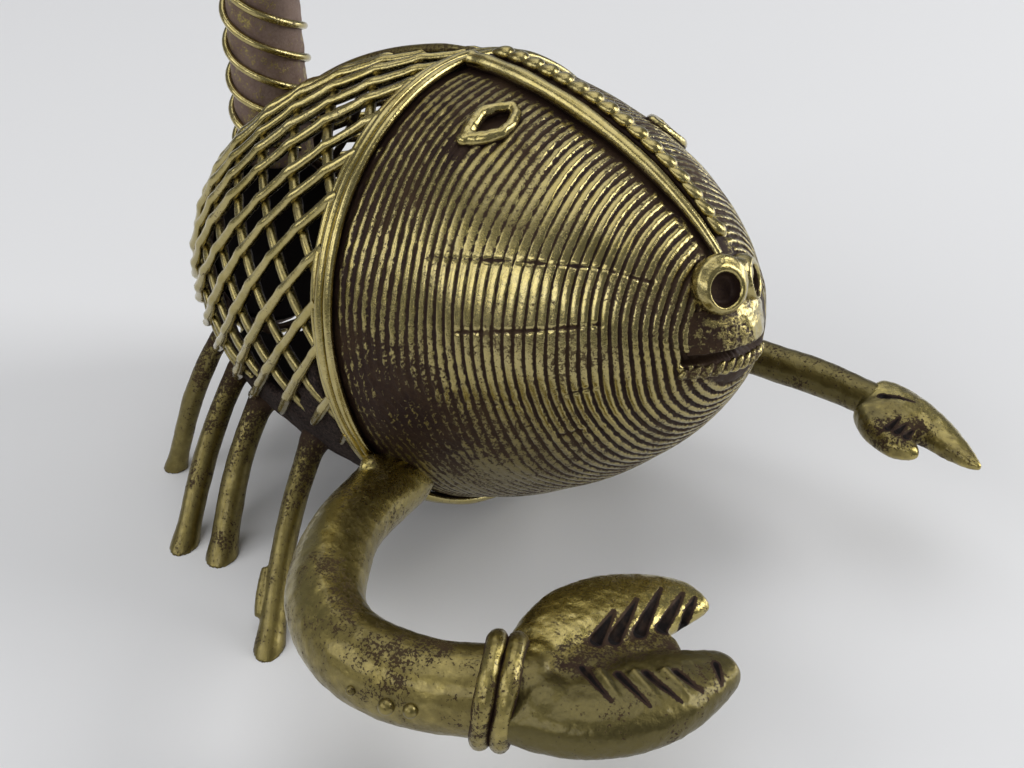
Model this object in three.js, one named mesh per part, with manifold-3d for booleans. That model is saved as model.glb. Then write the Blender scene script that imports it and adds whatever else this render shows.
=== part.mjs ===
// Cast brass scorpion ornament, made by the wax-thread method: a ribbed egg of a head, an open
// wire net for the hind body, eight rod legs, two pincers and an upright tail wound with wire.
// Millimetres, +Z up. The scorpion faces -Y and stands on its feet; its right side is -X.
import * as THREE from 'three';
import { mergeVertices } from 'three/addons/utils/BufferGeometryUtils.js';
import Module from 'manifold-3d';

const wasm = await Module();
wasm.setup();

// Body: egg length fore and aft of the band, and how it is carried
const BAND_RADIUS = 25;
const NOSE_LENGTH = 36;
const REAR_LENGTH = 41;
const NOSE_FULLNESS = [1.61, 1.74];
const REAR_FULLNESS = [2.22, 1.96];
const BODY_HEIGHT = 30;
const NOSE_UP = THREE.MathUtils.degToRad(11.7);
const BODY_ROLL = THREE.MathUtils.degToRad(9.5);
const SHELL_WALL = 1.3;
const SEAT_GAP = 0.3;

// Band of wires at the joint of head and net
const BAND_WIRE = 1.0;

// Net: two layers of slanting threads over an open hollow, on a solid belly
const NET_OVER_WIRE = 1.0;
const NET_UNDER_WIRE = 0.9;
const NET_OVER_COUNT = 30;
const NET_UNDER_COUNT = 19;
const NET_OVER_SWEEP = 76.6;
const NET_UNDER_SWEEP = -109.5;
const REAR_CAP_DEPTH = 4.5;
const NET_REAR = REAR_LENGTH - REAR_CAP_DEPTH;
const BELLY_DEPTH = 9.5;
const BELLY_WALL = 3.0;

// Crest along the midline of the head, and the single ridge behind it
const CREST_NARROWING = 0.55;
const CREST_OFFSET = 0.8;
const PLAIN_WIRE = 1.7;
const SECOND_WIRE = 1.1;
const CREST_ROPE = 1.8;
const FAR_WIRE = 0.8;
const RIDGE_WIRE = 1.0;
const RIDGE_LENGTH = 0.66 * REAR_LENGTH;

// Face: eyes, nostrils and mouth. The sizes in braces are shares of the band's radius, and along
// is a share of the nose's length
const EYE_RIGHT = { along: 0.35, angle: 27.5 };
const EYE_LEFT = { along: 0.486, angle: -35 };
const EYE_LENGTH = 7.6;
const EYE_WIDTH = 4.6;
const EYE_RIM = 1.5;
const EYE_SLANT = THREE.MathUtils.degToRad(70);
const EYE_POINT = 1.25;
const NOSTRIL_RIGHT = { side: 1, angle: 30, outer: 0.22, bore: 0.14, height: 0.088, splay: 0.42 };
const NOSTRIL_LEFT = { side: -1, angle: 24, outer: 0.184, bore: 0.112, height: 0.044, splay: 0.15 };
const NOSTRIL_OFFSET = 6.0;
const MOUTH_WIDTH = 12.6;
const MOUTH_SLIT = 1.3;
const MOUTH_DROP = 1.6;
const MOUTH_SIDE = 1.2;
const UPPER_LIP = { width: 0.424, depth: 0.088, swell: 0.036 };
const LOWER_LIP = { width: 0.48, depth: 0.088, swell: 0.08 };

// Legs from the front pair to the rear pair: root on the belly, a share of the rear length behind the
// band; thickness, foot and bow are shares of the band's radius
const LEGS = [
  { thickness: 0.108, along: 0.268, angle: 133, foot: [1.476, -0.032], bow: 0.06 },
  { thickness: 0.12, along: 0.549, angle: 133, foot: [1.212, 0.6], bow: 0.06 },
  { thickness: 0.108, along: 0.683, angle: 130, foot: [1.272, 0.8], bow: 0.06 },
  { thickness: 0.096, along: 0.768, angle: 122, foot: [0.912, 1.312], bow: 0.04 },
];
const FOOT_SPREAD = 1.22;
const KNEE_SHARE = 0.45;

// Pincers: arm route from the body outwards, cuff of rings, claw, all in shares of the band's radius
const RIGHT_PINCER = {
  along: 0.07, angle: 135, root: 0.304, wrist: 0.352, cuffWire: 0.056, cuffRings: 2,
  route: [[-0.44, -0.136, 0.04], [-0.664, -0.264, 0.04], [-0.84, -0.424, 0.04], [-0.928, -0.624, 0.04],
    [-0.928, -0.824, 0.04], [-0.856, -1.032, 0.04], [-0.712, -1.24, 0.04]],
};
const LEFT_PINCER = {
  along: 0.07, angle: -115, root: 0.2, wrist: 0.168, cuffWire: 0, cuffRings: 0,
  route: [[0.12, -0.16, 0], [0.144, -0.44, 0], [0.176, -0.76, 0], [0.208, -1.04, 0], [0.2, -1.32, 0]],
};
const CLAW_RIGHT = {
  heading: THREE.MathUtils.degToRad(-26),
  flatten: 0.8,
  palm: { centre: [0.272, 0.024], half: [0.352, 0.328, 0.144] },
  fingers: [
    { route: [[0.2, 0.144], [0.48, 0.272], [0.68, 0.224], [0.816, 0.108]], root: 0.344, tip: 0.048 },
    { route: [[0.2, -0.136], [0.44, -0.208], [0.616, -0.196], [0.736, -0.168]], root: 0.304, tip: 0.056 },
  ],
};
const CLAW_LEFT = {
  heading: THREE.MathUtils.degToRad(-101),
  flatten: 0.8,
  palm: { centre: [0.168, -0.032], half: [0.224, 0.2, 0.092] },
  fingers: [
    { route: [[0.14, 0.048], [0.32, 0.056], [0.48, 0.02], [0.64, -0.024]], root: 0.216, tip: 0.04 },
    { route: [[0.14, -0.112], [0.3, -0.176], [0.432, -0.184]], root: 0.176, tip: 0.04 },
  ],
};

// Tail: upright from the rear of the net, curling forward to the sting, wound with one wire. The
// route is in shares of the band's radius, aside, behind the body's end and above the band's middle
const TAIL_ROOT_DIAMETER = 9.6;
const TAIL_TIP_DIAMETER = 5.8;
const TAIL_ROUTE = [[0.08, -0.18, -0.24], [0.08, -0.16, 0.4], [0.08, -0.168, 1.04], [0.08, -0.26, 1.76],
  [0.08, -0.54, 2.34], [0.08, -1.02, 2.64], [0.08, -1.44, 2.6]];
const TAIL_WIRE = 0.9;
const TAIL_WIRE_PITCH = 4.4;
const TAIL_WIRE_START = 22;
const STING_BULB = 8.4;
const STING_LENGTH = 17;
const STING_DROP = 8;
const STING_POINT = 0.7;
const STING_WAIST = 0.45;

// Counts of sides and steps of the smaller rounds
const THREAD_SIDES = 4;
const LIP_SIDES = 6;
const LIP_HALF = 5;
const LEG_SIDES = 7;
const FINGER_SIDES = 8;
const ARM_SIDES = 10;
const TAIL_SIDES = 12;
const PIPE_STEPS = 14;
const REAR_STEPS = 20;
const EYE_STEPS = 16;

const BRASS = { color: 0x8a7a42, roughness: 0.42, metalness: 1 };
const DARK_BRASS = { color: 0x6e5a3c, roughness: 0.6, metalness: 0.9 };
const TURN_STEPS = 20;
const TURN_SIDES = 5;
const WIRE_SIDES = 5;
const ROUND_STEPS = 32;
const WELD = 1e-4;

const up = new THREE.Vector3(0, 0, 1);
const bodyPlace = new THREE.Matrix4().makeRotationFromEuler(new THREE.Euler(-NOSE_UP, BODY_ROLL, 0));
bodyPlace.setPosition(0, 0, BODY_HEIGHT);

// Height of the net's outer face above the egg, which every limb seats on
const NET_OVER_LIFT = SEAT_GAP / 2 + NET_OVER_WIRE / 2;
const NET_UNDER_LIFT = -SEAT_GAP / 2 - NET_UNDER_WIRE / 2;
const NET_FACE = NET_OVER_LIFT + NET_OVER_WIRE / 2;
const BAND_LIFT = SEAT_GAP + BAND_WIRE / 2;
const LIMB_SEAT = Math.max(NET_FACE, SEAT_GAP + BAND_WIRE) + SEAT_GAP;

// A size drawn as a share of the band's radius
function sized(share) {
  return share * BAND_RADIUS;
}

// A station is a distance along the body axis from the band, positive towards the nose.
function eggRadius(station) {
  const [length, [p, q]] = station >= 0 ? [NOSE_LENGTH, NOSE_FULLNESS] : [REAR_LENGTH, REAR_FULLNESS];
  const share = Math.min(1, Math.abs(station) / length);
  return BAND_RADIUS * (1 - share ** p) ** (1 / q);
}

function noseStation(radius) {
  const [p, q] = NOSE_FULLNESS;
  return NOSE_LENGTH * (1 - (radius / BAND_RADIUS) ** q) ** (1 / p);
}

// Radius and station of a point that stands off the egg along its normal
function offsetPoint(station, lift) {
  const length = station >= 0 ? NOSE_LENGTH : REAR_LENGTH;
  if (Math.abs(station) >= length) return new THREE.Vector2(0, Math.sign(station) * (length + lift));
  const step = Math.min(0.05, (length - Math.abs(station)) / 2);
  const slope = (eggRadius(station + step) - eggRadius(station - step)) / (2 * step);
  const size = Math.hypot(1, slope);
  return new THREE.Vector2(eggRadius(station) + lift / size, station - (lift * slope) / size);
}

// Point in the body's own frame; the angle in degrees turns from the back down the right flank
function bodyPoint(station, angle, lift = 0) {
  const { x: radius, y: along } = offsetPoint(station, lift);
  const turn = THREE.MathUtils.degToRad(angle);
  return new THREE.Vector3(-radius * Math.sin(turn), -along, radius * Math.cos(turn));
}

function worldPoint(station, angle, lift = 0) {
  return bodyPoint(station, angle, lift).applyMatrix4(bodyPlace);
}

// Stations spaced closer towards a pole of the egg
function stations(from, to, count) {
  const turnOf = (s) => Math.asin(THREE.MathUtils.clamp(s / (s >= 0 ? NOSE_LENGTH : REAR_LENGTH), -1, 1));
  const [a, b] = [turnOf(from), turnOf(to)];
  return Array.from({ length: count + 1 }, (_, i) => {
    if (i === 0) return from;
    if (i === count) return to;
    const sine = Math.sin(a + ((b - a) * i) / count);
    return sine * (sine >= 0 ? NOSE_LENGTH : REAR_LENGTH);
  });
}

// Closed triangle mesh with shared corners, no empty faces, and its faces pointing out
function weld(geometry) {
  const bare = geometry.clone();
  bare.deleteAttribute('normal');
  bare.deleteAttribute('uv');
  const merged = mergeVertices(bare, WELD);
  const corners = merged.attributes.position;
  const point = (i) => new THREE.Vector3().fromBufferAttribute(corners, i);
  const faces = [];
  let volume = 0;
  for (let i = 0; i < merged.index.count; i += 3) {
    const [a, b, c] = [0, 1, 2].map((k) => merged.index.getX(i + k));
    if (a === b || b === c || c === a) continue;
    faces.push([a, b, c]);
    volume += point(a).dot(point(b).cross(point(c)));
  }
  const facing = volume < 0 ? ([a, b, c]) => [a, c, b] : (face) => face;
  merged.setIndex(faces.flatMap(facing));
  return merged;
}

function solid(geometry) {
  const closed = weld(geometry);
  return new wasm.Manifold(new wasm.Mesh({
    numProp: 3,
    vertProperties: Float32Array.from(closed.attributes.position.array),
    triVerts: Uint32Array.from(closed.index.array),
  }));
}

function geometryOf(manifold) {
  const { vertProperties, triVerts } = manifold.getMesh();
  const geometry = new THREE.BufferGeometry();
  geometry.setAttribute('position', new THREE.BufferAttribute(vertProperties, 3));
  geometry.setIndex(new THREE.BufferAttribute(triVerts, 1));
  geometry.computeVertexNormals();
  return geometry;
}

// Skin over a row of rings with equal counts of points, capped unless the row closes on itself
function loft(rings, closed = false) {
  const sides = rings[0].length;
  const points = rings.flat();
  const index = [];
  const rows = closed ? rings.length : rings.length - 1;
  for (let i = 0; i < rows; i += 1) {
    const next = ((i + 1) % rings.length) * sides;
    for (let j = 0; j < sides; j += 1) {
      const k = (j + 1) % sides;
      const [a, b, c, d] = [i * sides + j, i * sides + k, next + j, next + k];
      index.push(a, b, d, a, d, c);
    }
  }
  if (!closed) {
    const last = (rings.length - 1) * sides;
    const centreOf = (ring) => ring.reduce((sum, p) => sum.add(p), new THREE.Vector3()).divideScalar(sides);
    points.push(centreOf(rings[0]), centreOf(rings.at(-1)));
    const head = points.length - 2;
    for (let j = 0; j < sides; j += 1) {
      const k = (j + 1) % sides;
      index.push(head, k, j, head + 1, last + j, last + k);
    }
  }
  const geometry = new THREE.BufferGeometry().setFromPoints(points);
  geometry.setIndex(index);
  return weld(geometry);
}

// Rings of a tube: radius(share) is its radius at a share of its length, flatten squashes it
function tubeRings(points, radius, sides, closed = false, normals = null, flatten = 1) {
  const count = points.length;
  const at = (i) => points[closed ? (i + count) % count : THREE.MathUtils.clamp(i, 0, count - 1)];
  let normal = null;
  return points.map((point, i) => {
    const along = at(i + 1).clone().sub(at(i - 1)).normalize();
    if (normals) normal = normals[i].clone();
    else if (!normal) normal = Math.abs(along.z) < 0.9 ? up.clone() : new THREE.Vector3(1, 0, 0);
    normal = normal.clone().addScaledVector(along, -normal.dot(along)).normalize();
    const across = along.clone().cross(normal);
    const size = radius(count > 1 ? i / (count - 1) : 0);
    return Array.from({ length: sides }, (_, j) => {
      const turn = (2 * Math.PI * (j + 0.5)) / sides;
      return point.clone()
        .addScaledVector(normal, size * flatten * Math.cos(turn))
        .addScaledVector(across, size * Math.sin(turn));
    });
  });
}

function tube(points, radius, sides) {
  return loft(tubeRings(points, radius, sides));
}

function smooth(points, count) {
  const corners = points.map((p) => (p.isVector3 ? p : new THREE.Vector3(...p)));
  return new THREE.CatmullRomCurve3(corners, false, 'centripetal').getSpacedPoints(count);
}

// Section of a round wire, as a closed lathe profile
function wireProfile(radius, height, diameter) {
  return Array.from({ length: WIRE_SIDES + 1 }, (_, i) => {
    const turn = (2 * Math.PI * (i % WIRE_SIDES)) / WIRE_SIDES;
    const [out, rise] = [Math.cos(turn), Math.sin(turn)].map((share) => (diameter / 2) * share);
    return new THREE.Vector2(radius + out, height + rise);
  });
}

// Round wire hoop about the body axis
function hoop(station, lift, diameter, segments) {
  const { x: radius, y: along } = offsetPoint(station, lift);
  return new THREE.LatheGeometry(wireProfile(radius, -along, diameter), segments);
}

// The egg, standing off by a lift, as a solid in the frame of the whole figure
function eggSolid(lift) {
  const rows = [...stations(NOSE_LENGTH, 0, 8), ...stations(0, -REAR_LENGTH, 8).slice(1)];
  const profile = rows.map((s) => {
    const { x, y } = offsetPoint(s, lift);
    return new THREE.Vector2(x, -y);
  });
  return solid(new THREE.LatheGeometry(profile, ROUND_STEPS).applyMatrix4(bodyPlace));
}

const body = new THREE.Group();
body.applyMatrix4(bodyPlace);
const figure = new THREE.Group();
figure.add(body);

function place(parent, name, geometry, finish = BRASS) {
  const mesh = new THREE.Mesh(geometry, new THREE.MeshStandardMaterial(finish));
  mesh.name = name;
  parent.add(mesh);
  return mesh;
}

// Head: a bowl open to the net behind, with the mouth slit cut through its nose
function headShell() {
  const outer = stations(NOSE_LENGTH, 0, 10).map((s) => offsetPoint(s, 0));
  const inner = stations(0, NOSE_LENGTH, 7).map((s) => offsetPoint(s, -SHELL_WALL));
  const profile = [...outer, ...inner].map(({ x, y }) => new THREE.Vector2(x, -y));
  const slit = new THREE.BoxGeometry(MOUTH_WIDTH, NOSE_LENGTH, MOUTH_SLIT);
  slit.translate(-MOUTH_SIDE, -NOSE_LENGTH, -MOUTH_DROP);
  return geometryOf(solid(new THREE.LatheGeometry(profile, ROUND_STEPS)).subtract(solid(slit)));
}
place(body, 'head_shell', headShell());

// Band: two hoops on the head's rim, beside the net's own end hoop
const bandStep = BAND_WIRE + SEAT_GAP;
const netHoop = -SEAT_GAP - NET_OVER_WIRE / 2;
['band_wire_rear', 'band_wire_front'].forEach((name, i) => {
  const station = netHoop + (NET_OVER_WIRE - BAND_WIRE) / 2 + (i + 1) * bandStep;
  place(body, name, hoop(station, BAND_LIFT, BAND_WIRE, ROUND_STEPS));
});

// Net layer: threads that all slant one way, from an end hoop to a rear ring, open over the belly
function netLayer(count, sweep, lift, diameter) {
  const front = netHoop;
  const twist = sweep / NET_REAR;
  const rows = stations(front, -NET_REAR, 6);
  const threads = Array.from({ length: count }, (_, i) => {
    const points = rows.map((s) => bodyPoint(s, (360 * i) / count + twist * (front - s), lift));
    return solid(tube(points, () => diameter / 2, THREAD_SIDES));
  });
  const below = new THREE.BoxGeometry(4 * BAND_RADIUS, 4 * REAR_LENGTH, 2 * BAND_RADIUS);
  below.translate(0, 0, SEAT_GAP - BELLY_DEPTH - BAND_RADIUS);
  const open = wasm.Manifold.union(threads).subtract(solid(below));
  const frontHoop = solid(hoop(front, lift, diameter, ROUND_STEPS));
  const rearHoop = solid(hoop(-NET_REAR, lift, diameter, REAR_STEPS));
  return geometryOf(wasm.Manifold.union([open, frontHoop, rearHoop]));
}
place(body, 'net_under', netLayer(NET_UNDER_COUNT, NET_UNDER_SWEEP, NET_UNDER_LIFT, NET_UNDER_WIRE));
place(body, 'net_over', netLayer(NET_OVER_COUNT, NET_OVER_SWEEP, NET_OVER_LIFT, NET_OVER_WIRE));

// Belly: the solid lower part of the hind body, which carries the legs
function bellyPlate() {
  const front = netHoop - NET_OVER_WIRE / 2 - SEAT_GAP;
  const rear = -NET_REAR + NET_OVER_WIRE / 2 + SEAT_GAP;
  const outer = stations(front, rear, 8).map((s) => offsetPoint(s, NET_FACE));
  const inner = stations(rear, front, 8).map((s) => offsetPoint(s, NET_FACE - BELLY_WALL));
  const profile = [...outer, ...inner, outer[0]].map(({ x, y }) => new THREE.Vector2(x, -y));
  const under = new THREE.BoxGeometry(4 * BAND_RADIUS, 4 * REAR_LENGTH, 2 * BAND_RADIUS);
  under.translate(0, 0, -BELLY_DEPTH - BAND_RADIUS);
  return geometryOf(solid(new THREE.LatheGeometry(profile, ROUND_STEPS)).intersect(solid(under)));
}
place(body, 'belly_plate', bellyPlate());

// Rear cap: the small dome that closes the ends of the threads
function rearCap() {
  const rim = -NET_REAR - NET_OVER_WIRE / 2 - SEAT_GAP;
  const outer = stations(-REAR_LENGTH, rim, 4).map((s) => offsetPoint(s, NET_FACE));
  const inner = stations(rim, -REAR_LENGTH, 4).map((s) => offsetPoint(s, NET_FACE - BELLY_WALL));
  const profile = [...outer, ...inner].map(({ x, y }) => new THREE.Vector2(x, -y));
  return weld(new THREE.LatheGeometry(profile, REAR_STEPS));
}
place(body, 'rear_cap', rearCap());

// Crest: four strands side by side from the band to the nose, narrowing as they go
const crestStrands = [
  ['crest_wire_right', PLAIN_WIRE], ['crest_wire_middle', SECOND_WIRE],
  ['crest_rope', CREST_ROPE], ['crest_wire_left', FAR_WIRE],
];
const crestWidth = crestStrands.reduce((sum, [, d]) => sum + d, (crestStrands.length - 1) * SEAT_GAP);
const crestFront = noseStation(NOSTRIL_OFFSET + sized(NOSTRIL_RIGHT.outer) / 2 + SEAT_GAP);
const crestBack = netHoop + 2 * bandStep + BAND_WIRE / 2 + SEAT_GAP;

function crestStrand(offset, diameter) {
  const rows = stations(crestFront, crestBack, 18);
  const narrowing = (s) => THREE.MathUtils.lerp(1, CREST_NARROWING, (s / crestFront) ** 3);
  const points = rows.map((s) => {
    const lift = SEAT_GAP + (diameter / 2) * narrowing(s);
    const angle = THREE.MathUtils.radToDeg(Math.asin((offset * narrowing(s)) / (eggRadius(s) + lift)));
    return bodyPoint(s, angle, lift);
  });
  const last = rows.length - 1;
  return tube(points, (share) => (diameter / 2) * narrowing(rows[Math.round(share * last)]), WIRE_SIDES);
}
let strandEdge = crestWidth / 2 + CREST_OFFSET;
crestStrands.forEach(([name, diameter]) => {
  place(body, name, crestStrand(strandEdge - diameter / 2, diameter));
  strandEdge -= diameter + SEAT_GAP;
});

// Eye: a raised almond rim lying on the head
function eyeRim({ along, angle }, slant) {
  const station = along * NOSE_LENGTH;
  const lift = SEAT_GAP + EYE_RIM / 2;
  const radius = eggRadius(station);
  const spread = (wave) => Math.sign(wave) * Math.abs(wave) ** EYE_POINT;
  const corners = Array.from({ length: EYE_STEPS }, (_, i) => {
    const turn = (2 * Math.PI * i) / EYE_STEPS;
    const long = ((EYE_LENGTH - EYE_RIM) / 2) * spread(Math.cos(turn));
    const wide = ((EYE_WIDTH - EYE_RIM) / 2) * spread(Math.sin(turn));
    const ahead = long * Math.cos(slant) - wide * Math.sin(slant);
    const round = long * Math.sin(slant) + wide * Math.cos(slant);
    return [station + ahead, angle - THREE.MathUtils.radToDeg(round / radius)];
  });
  const points = corners.map(([s, a]) => bodyPoint(s, a, lift));
  const normals = corners.map(([s, a]) => bodyPoint(s, a, lift + 1).sub(bodyPoint(s, a, lift)));
  return loft(tubeRings(points, () => EYE_RIM / 2, WIRE_SIDES, true, normals), true);
}
place(body, 'eye_rim_right', eyeRim(EYE_RIGHT, EYE_SLANT));
place(body, 'eye_rim_left', eyeRim(EYE_LEFT, -EYE_SLANT));

// Nostril: a short open tube standing on the nose, splayed outwards
const noseSkin = eggSolid(SEAT_GAP).transform(bodyPlace.clone().invert().elements);

function nostril({ side, angle, outer, bore, height, splay }) {
  const [inner, rim, top] = [bore / 2, outer / 2, height].map(sized);
  const corners = [[inner, -rim], [rim, -rim], [rim, top], [inner, top], [inner, -rim]];
  const profile = corners.map((corner) => new THREE.Vector2(...corner));
  const seat = bodyPoint(noseStation(NOSTRIL_OFFSET), side * angle);
  const facing = new THREE.Vector3(-side * splay, -1, splay / 2).normalize();
  const turn = new THREE.Quaternion().setFromUnitVectors(new THREE.Vector3(0, 1, 0), facing);
  const pipe = new THREE.LatheGeometry(profile, PIPE_STEPS).applyQuaternion(turn);
  pipe.translate(seat.x, seat.y, seat.z);
  return geometryOf(solid(pipe).subtract(noseSkin));
}
place(body, 'nostril_right', nostril(NOSTRIL_RIGHT));
place(body, 'nostril_left', nostril(NOSTRIL_LEFT));

// Lip: a bar of wax laid along one edge of the mouth slit, thinning to its ends
function lip(size, level) {
  const [width, depth, swell] = [size.width, size.depth, size.swell].map(sized);
  const rowAt = (_, i) => (i / LIP_HALF - 1) * (width / 2) - MOUTH_SIDE;
  const rows = Array.from({ length: 2 * LIP_HALF + 1 }, rowAt);
  const lift = SEAT_GAP + swell / 2;
  const turnOf = (x) => THREE.MathUtils.radToDeg(Math.atan2(-x, level));
  const spots = rows.map((x) => [noseStation(Math.hypot(x, level)), turnOf(x)]);
  const points = spots.map(([s, a]) => bodyPoint(s, a, lift));
  const normals = spots.map(([s, a]) => bodyPoint(s, a, lift + 1).sub(bodyPoint(s, a, lift)));
  const taper = (share) => (depth / 2) * (0.5 + 0.5 * Math.sin(Math.PI * share));
  return loft(tubeRings(points, taper, LIP_SIDES, false, normals, swell / depth));
}
const lipEdge = MOUTH_SLIT / 2 + SEAT_GAP;
place(body, 'upper_lip', lip(UPPER_LIP, lipEdge + sized(UPPER_LIP.depth) / 2 - MOUTH_DROP), DARK_BRASS);
place(body, 'lower_lip', lip(LOWER_LIP, -lipEdge - sized(LOWER_LIP.depth) / 2 - MOUTH_DROP), DARK_BRASS);

const limbSeat = eggSolid(LIMB_SEAT);

// Tail: a tapering core that seats on the net, with one wire wound round it up to the sting
const tailRoute = TAIL_ROUTE.map((step) => new THREE.Vector3(...step.map(sized)));
const tailStart = new THREE.Vector3(0, REAR_LENGTH, BODY_HEIGHT);
const tailPath = smooth(tailRoute.map((step) => step.add(tailStart)), 24);
const tailLength = tailPath.reduce((sum, p, i) => (i ? sum + p.distanceTo(tailPath[i - 1]) : 0), 0);
const tailRadius = (share) => THREE.MathUtils.lerp(TAIL_ROOT_DIAMETER, TAIL_TIP_DIAMETER, share ** 1.5) / 2;
const tailCore = solid(tube(tailPath, tailRadius, TAIL_SIDES)).subtract(limbSeat);
place(figure, 'tail_core', geometryOf(tailCore), DARK_BRASS);

function tailWire() {
  const lineCurve = new THREE.CatmullRomCurve3(tailPath, false, 'centripetal');
  const turns = Math.floor((tailLength - TAIL_WIRE_START - TAIL_WIRE) / TAIL_WIRE_PITCH);
  const count = turns * TURN_STEPS;
  const points = Array.from({ length: count + 1 }, (_, i) => {
    const share = (TAIL_WIRE_START + (i / TURN_STEPS) * TAIL_WIRE_PITCH) / tailLength;
    const along = lineCurve.getTangentAt(share);
    const side = new THREE.Vector3(1, 0, 0);
    const front = side.clone().cross(along).normalize();
    const turn = (2 * Math.PI * i) / TURN_STEPS;
    const radius = tailRadius(share) + SEAT_GAP + TAIL_WIRE / 2;
    return lineCurve.getPointAt(share)
      .addScaledVector(side, radius * Math.cos(turn))
      .addScaledVector(front, radius * Math.sin(turn));
  });
  const first = points[0].clone().sub(points[1]).setLength(TAIL_WIRE).add(points[0]);
  const last = points.at(-1).clone().sub(points.at(-2)).setLength(TAIL_WIRE).add(points.at(-1));
  const beyond = (i) => points.slice(i + TURN_STEPS / 2);
  const gaps = points.flatMap((p, i) => beyond(i).map((other) => p.distanceTo(other)));
  const least = gaps.reduce((low, gap) => Math.min(low, gap), Infinity) - TAIL_WIRE;
  console.log(`tail wire: ${turns} turns, least gap to itself ${least.toFixed(2)} mm`);
  return tube([first, ...points, last], () => TAIL_WIRE / 2, TURN_SIDES);
}
place(figure, 'tail_wire', tailWire());

// Sting: a bulb drawn out to a point that bends down, closing the end of the tail
function sting() {
  const end = tailPath.at(-1);
  const along = end.clone().sub(tailPath.at(-2)).normalize();
  const rings = 8;
  const points = Array.from({ length: rings }, (_, i) => {
    const share = i / (rings - 1);
    return end.clone()
      .addScaledVector(along, SEAT_GAP + STING_LENGTH * share)
      .addScaledVector(up, -STING_DROP * share ** 2.2);
  });
  const bulge = (share) => (STING_BULB / 2) * Math.sin(Math.PI * (0.2 + share * 1.25)) ** 1.1;
  const point = (share) => bulge(STING_WAIST) * ((1 - share) / (1 - STING_WAIST)) ** 1.3;
  const radius = (share) => Math.max(STING_POINT / 2, share < STING_WAIST ? bulge(share) : point(share));
  return tube(points, radius, ARM_SIDES);
}
place(figure, 'sting', sting());

// Ridge: the single wire that runs back over the net from the crest to the tail
function backRidge() {
  const front = netHoop - NET_OVER_WIRE / 2;
  const rows = stations(front, front - RIDGE_LENGTH, 10);
  const points = rows.map((s) => bodyPoint(s, 0, LIMB_SEAT + RIDGE_WIRE / 2));
  const wire = tube(points, () => RIDGE_WIRE / 2, WIRE_SIDES);
  const roomRadius = (share) => tailRadius(share) + TAIL_WIRE + 2 * SEAT_GAP;
  const tailRoom = solid(tube(tailPath, roomRadius, TAIL_SIDES));
  return geometryOf(solid(wire).subtract(tailRoom.transform(bodyPlace.clone().invert().elements)));
}
place(body, 'back_ridge', backRidge());

// Leg: a rod from the belly to the floor, spreading a little at its flat foot
const floorSize = 16 * BAND_RADIUS;
const floorBox = new THREE.BoxGeometry(floorSize, floorSize, BAND_RADIUS);
const floor = solid(floorBox.translate(0, 0, -BAND_RADIUS / 2));

function leg({ thickness, along, angle, foot, bow }, side) {
  const station = -along * REAR_LENGTH;
  const [diameter, footX, footY, out] = [thickness, ...foot, bow].map(sized);
  const root = worldPoint(station, side * angle);
  const inside = worldPoint(station, side * angle, -diameter);
  const sole = new THREE.Vector3(-side * footX, footY, 0);
  const knee = root.clone().lerp(sole, KNEE_SHARE).add(new THREE.Vector3(-side * out, 0, out));
  const beyond = sole.clone().sub(knee).setLength(diameter).add(sole);
  const points = smooth([inside, root, knee, sole, beyond], 7);
  const spread = (share) => (diameter / 2) * (1 + (FOOT_SPREAD - 1) * share ** 6);
  return geometryOf(solid(tube(points, spread, LEG_SIDES)).subtract(limbSeat).subtract(floor));
}
LEGS.forEach((size, i) => {
  place(figure, `leg_right_${i + 1}`, leg(size, 1));
  place(figure, `leg_left_${i + 1}`, leg(size, -1));
});

// Pincer: an arm seated on the body, two cuff rings on its wrist and a flat two-fingered claw
function clawSolid({ heading, flatten, palm, fingers }, wrist) {
  const pad = new THREE.SphereGeometry(1, PIPE_STEPS, FINGER_SIDES).scale(...palm.half.map(sized));
  pad.translate(...palm.centre.map(sized), 0);
  const prongs = fingers.map(({ route, root, tip }) => {
    const path = smooth(route.map(([u, v]) => [sized(u), sized(v), 0]), 7);
    const taper = (share) => sized(THREE.MathUtils.lerp(root, tip, share ** 1.5)) / 2;
    return solid(loft(tubeRings(path, taper, FINGER_SIDES, false, path.map(() => up), flatten)));
  });
  const placed = new THREE.Matrix4().makeRotationZ(heading).setPosition(wrist);
  return wasm.Manifold.union([solid(pad), ...prongs]).transform(placed.elements);
}

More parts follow.
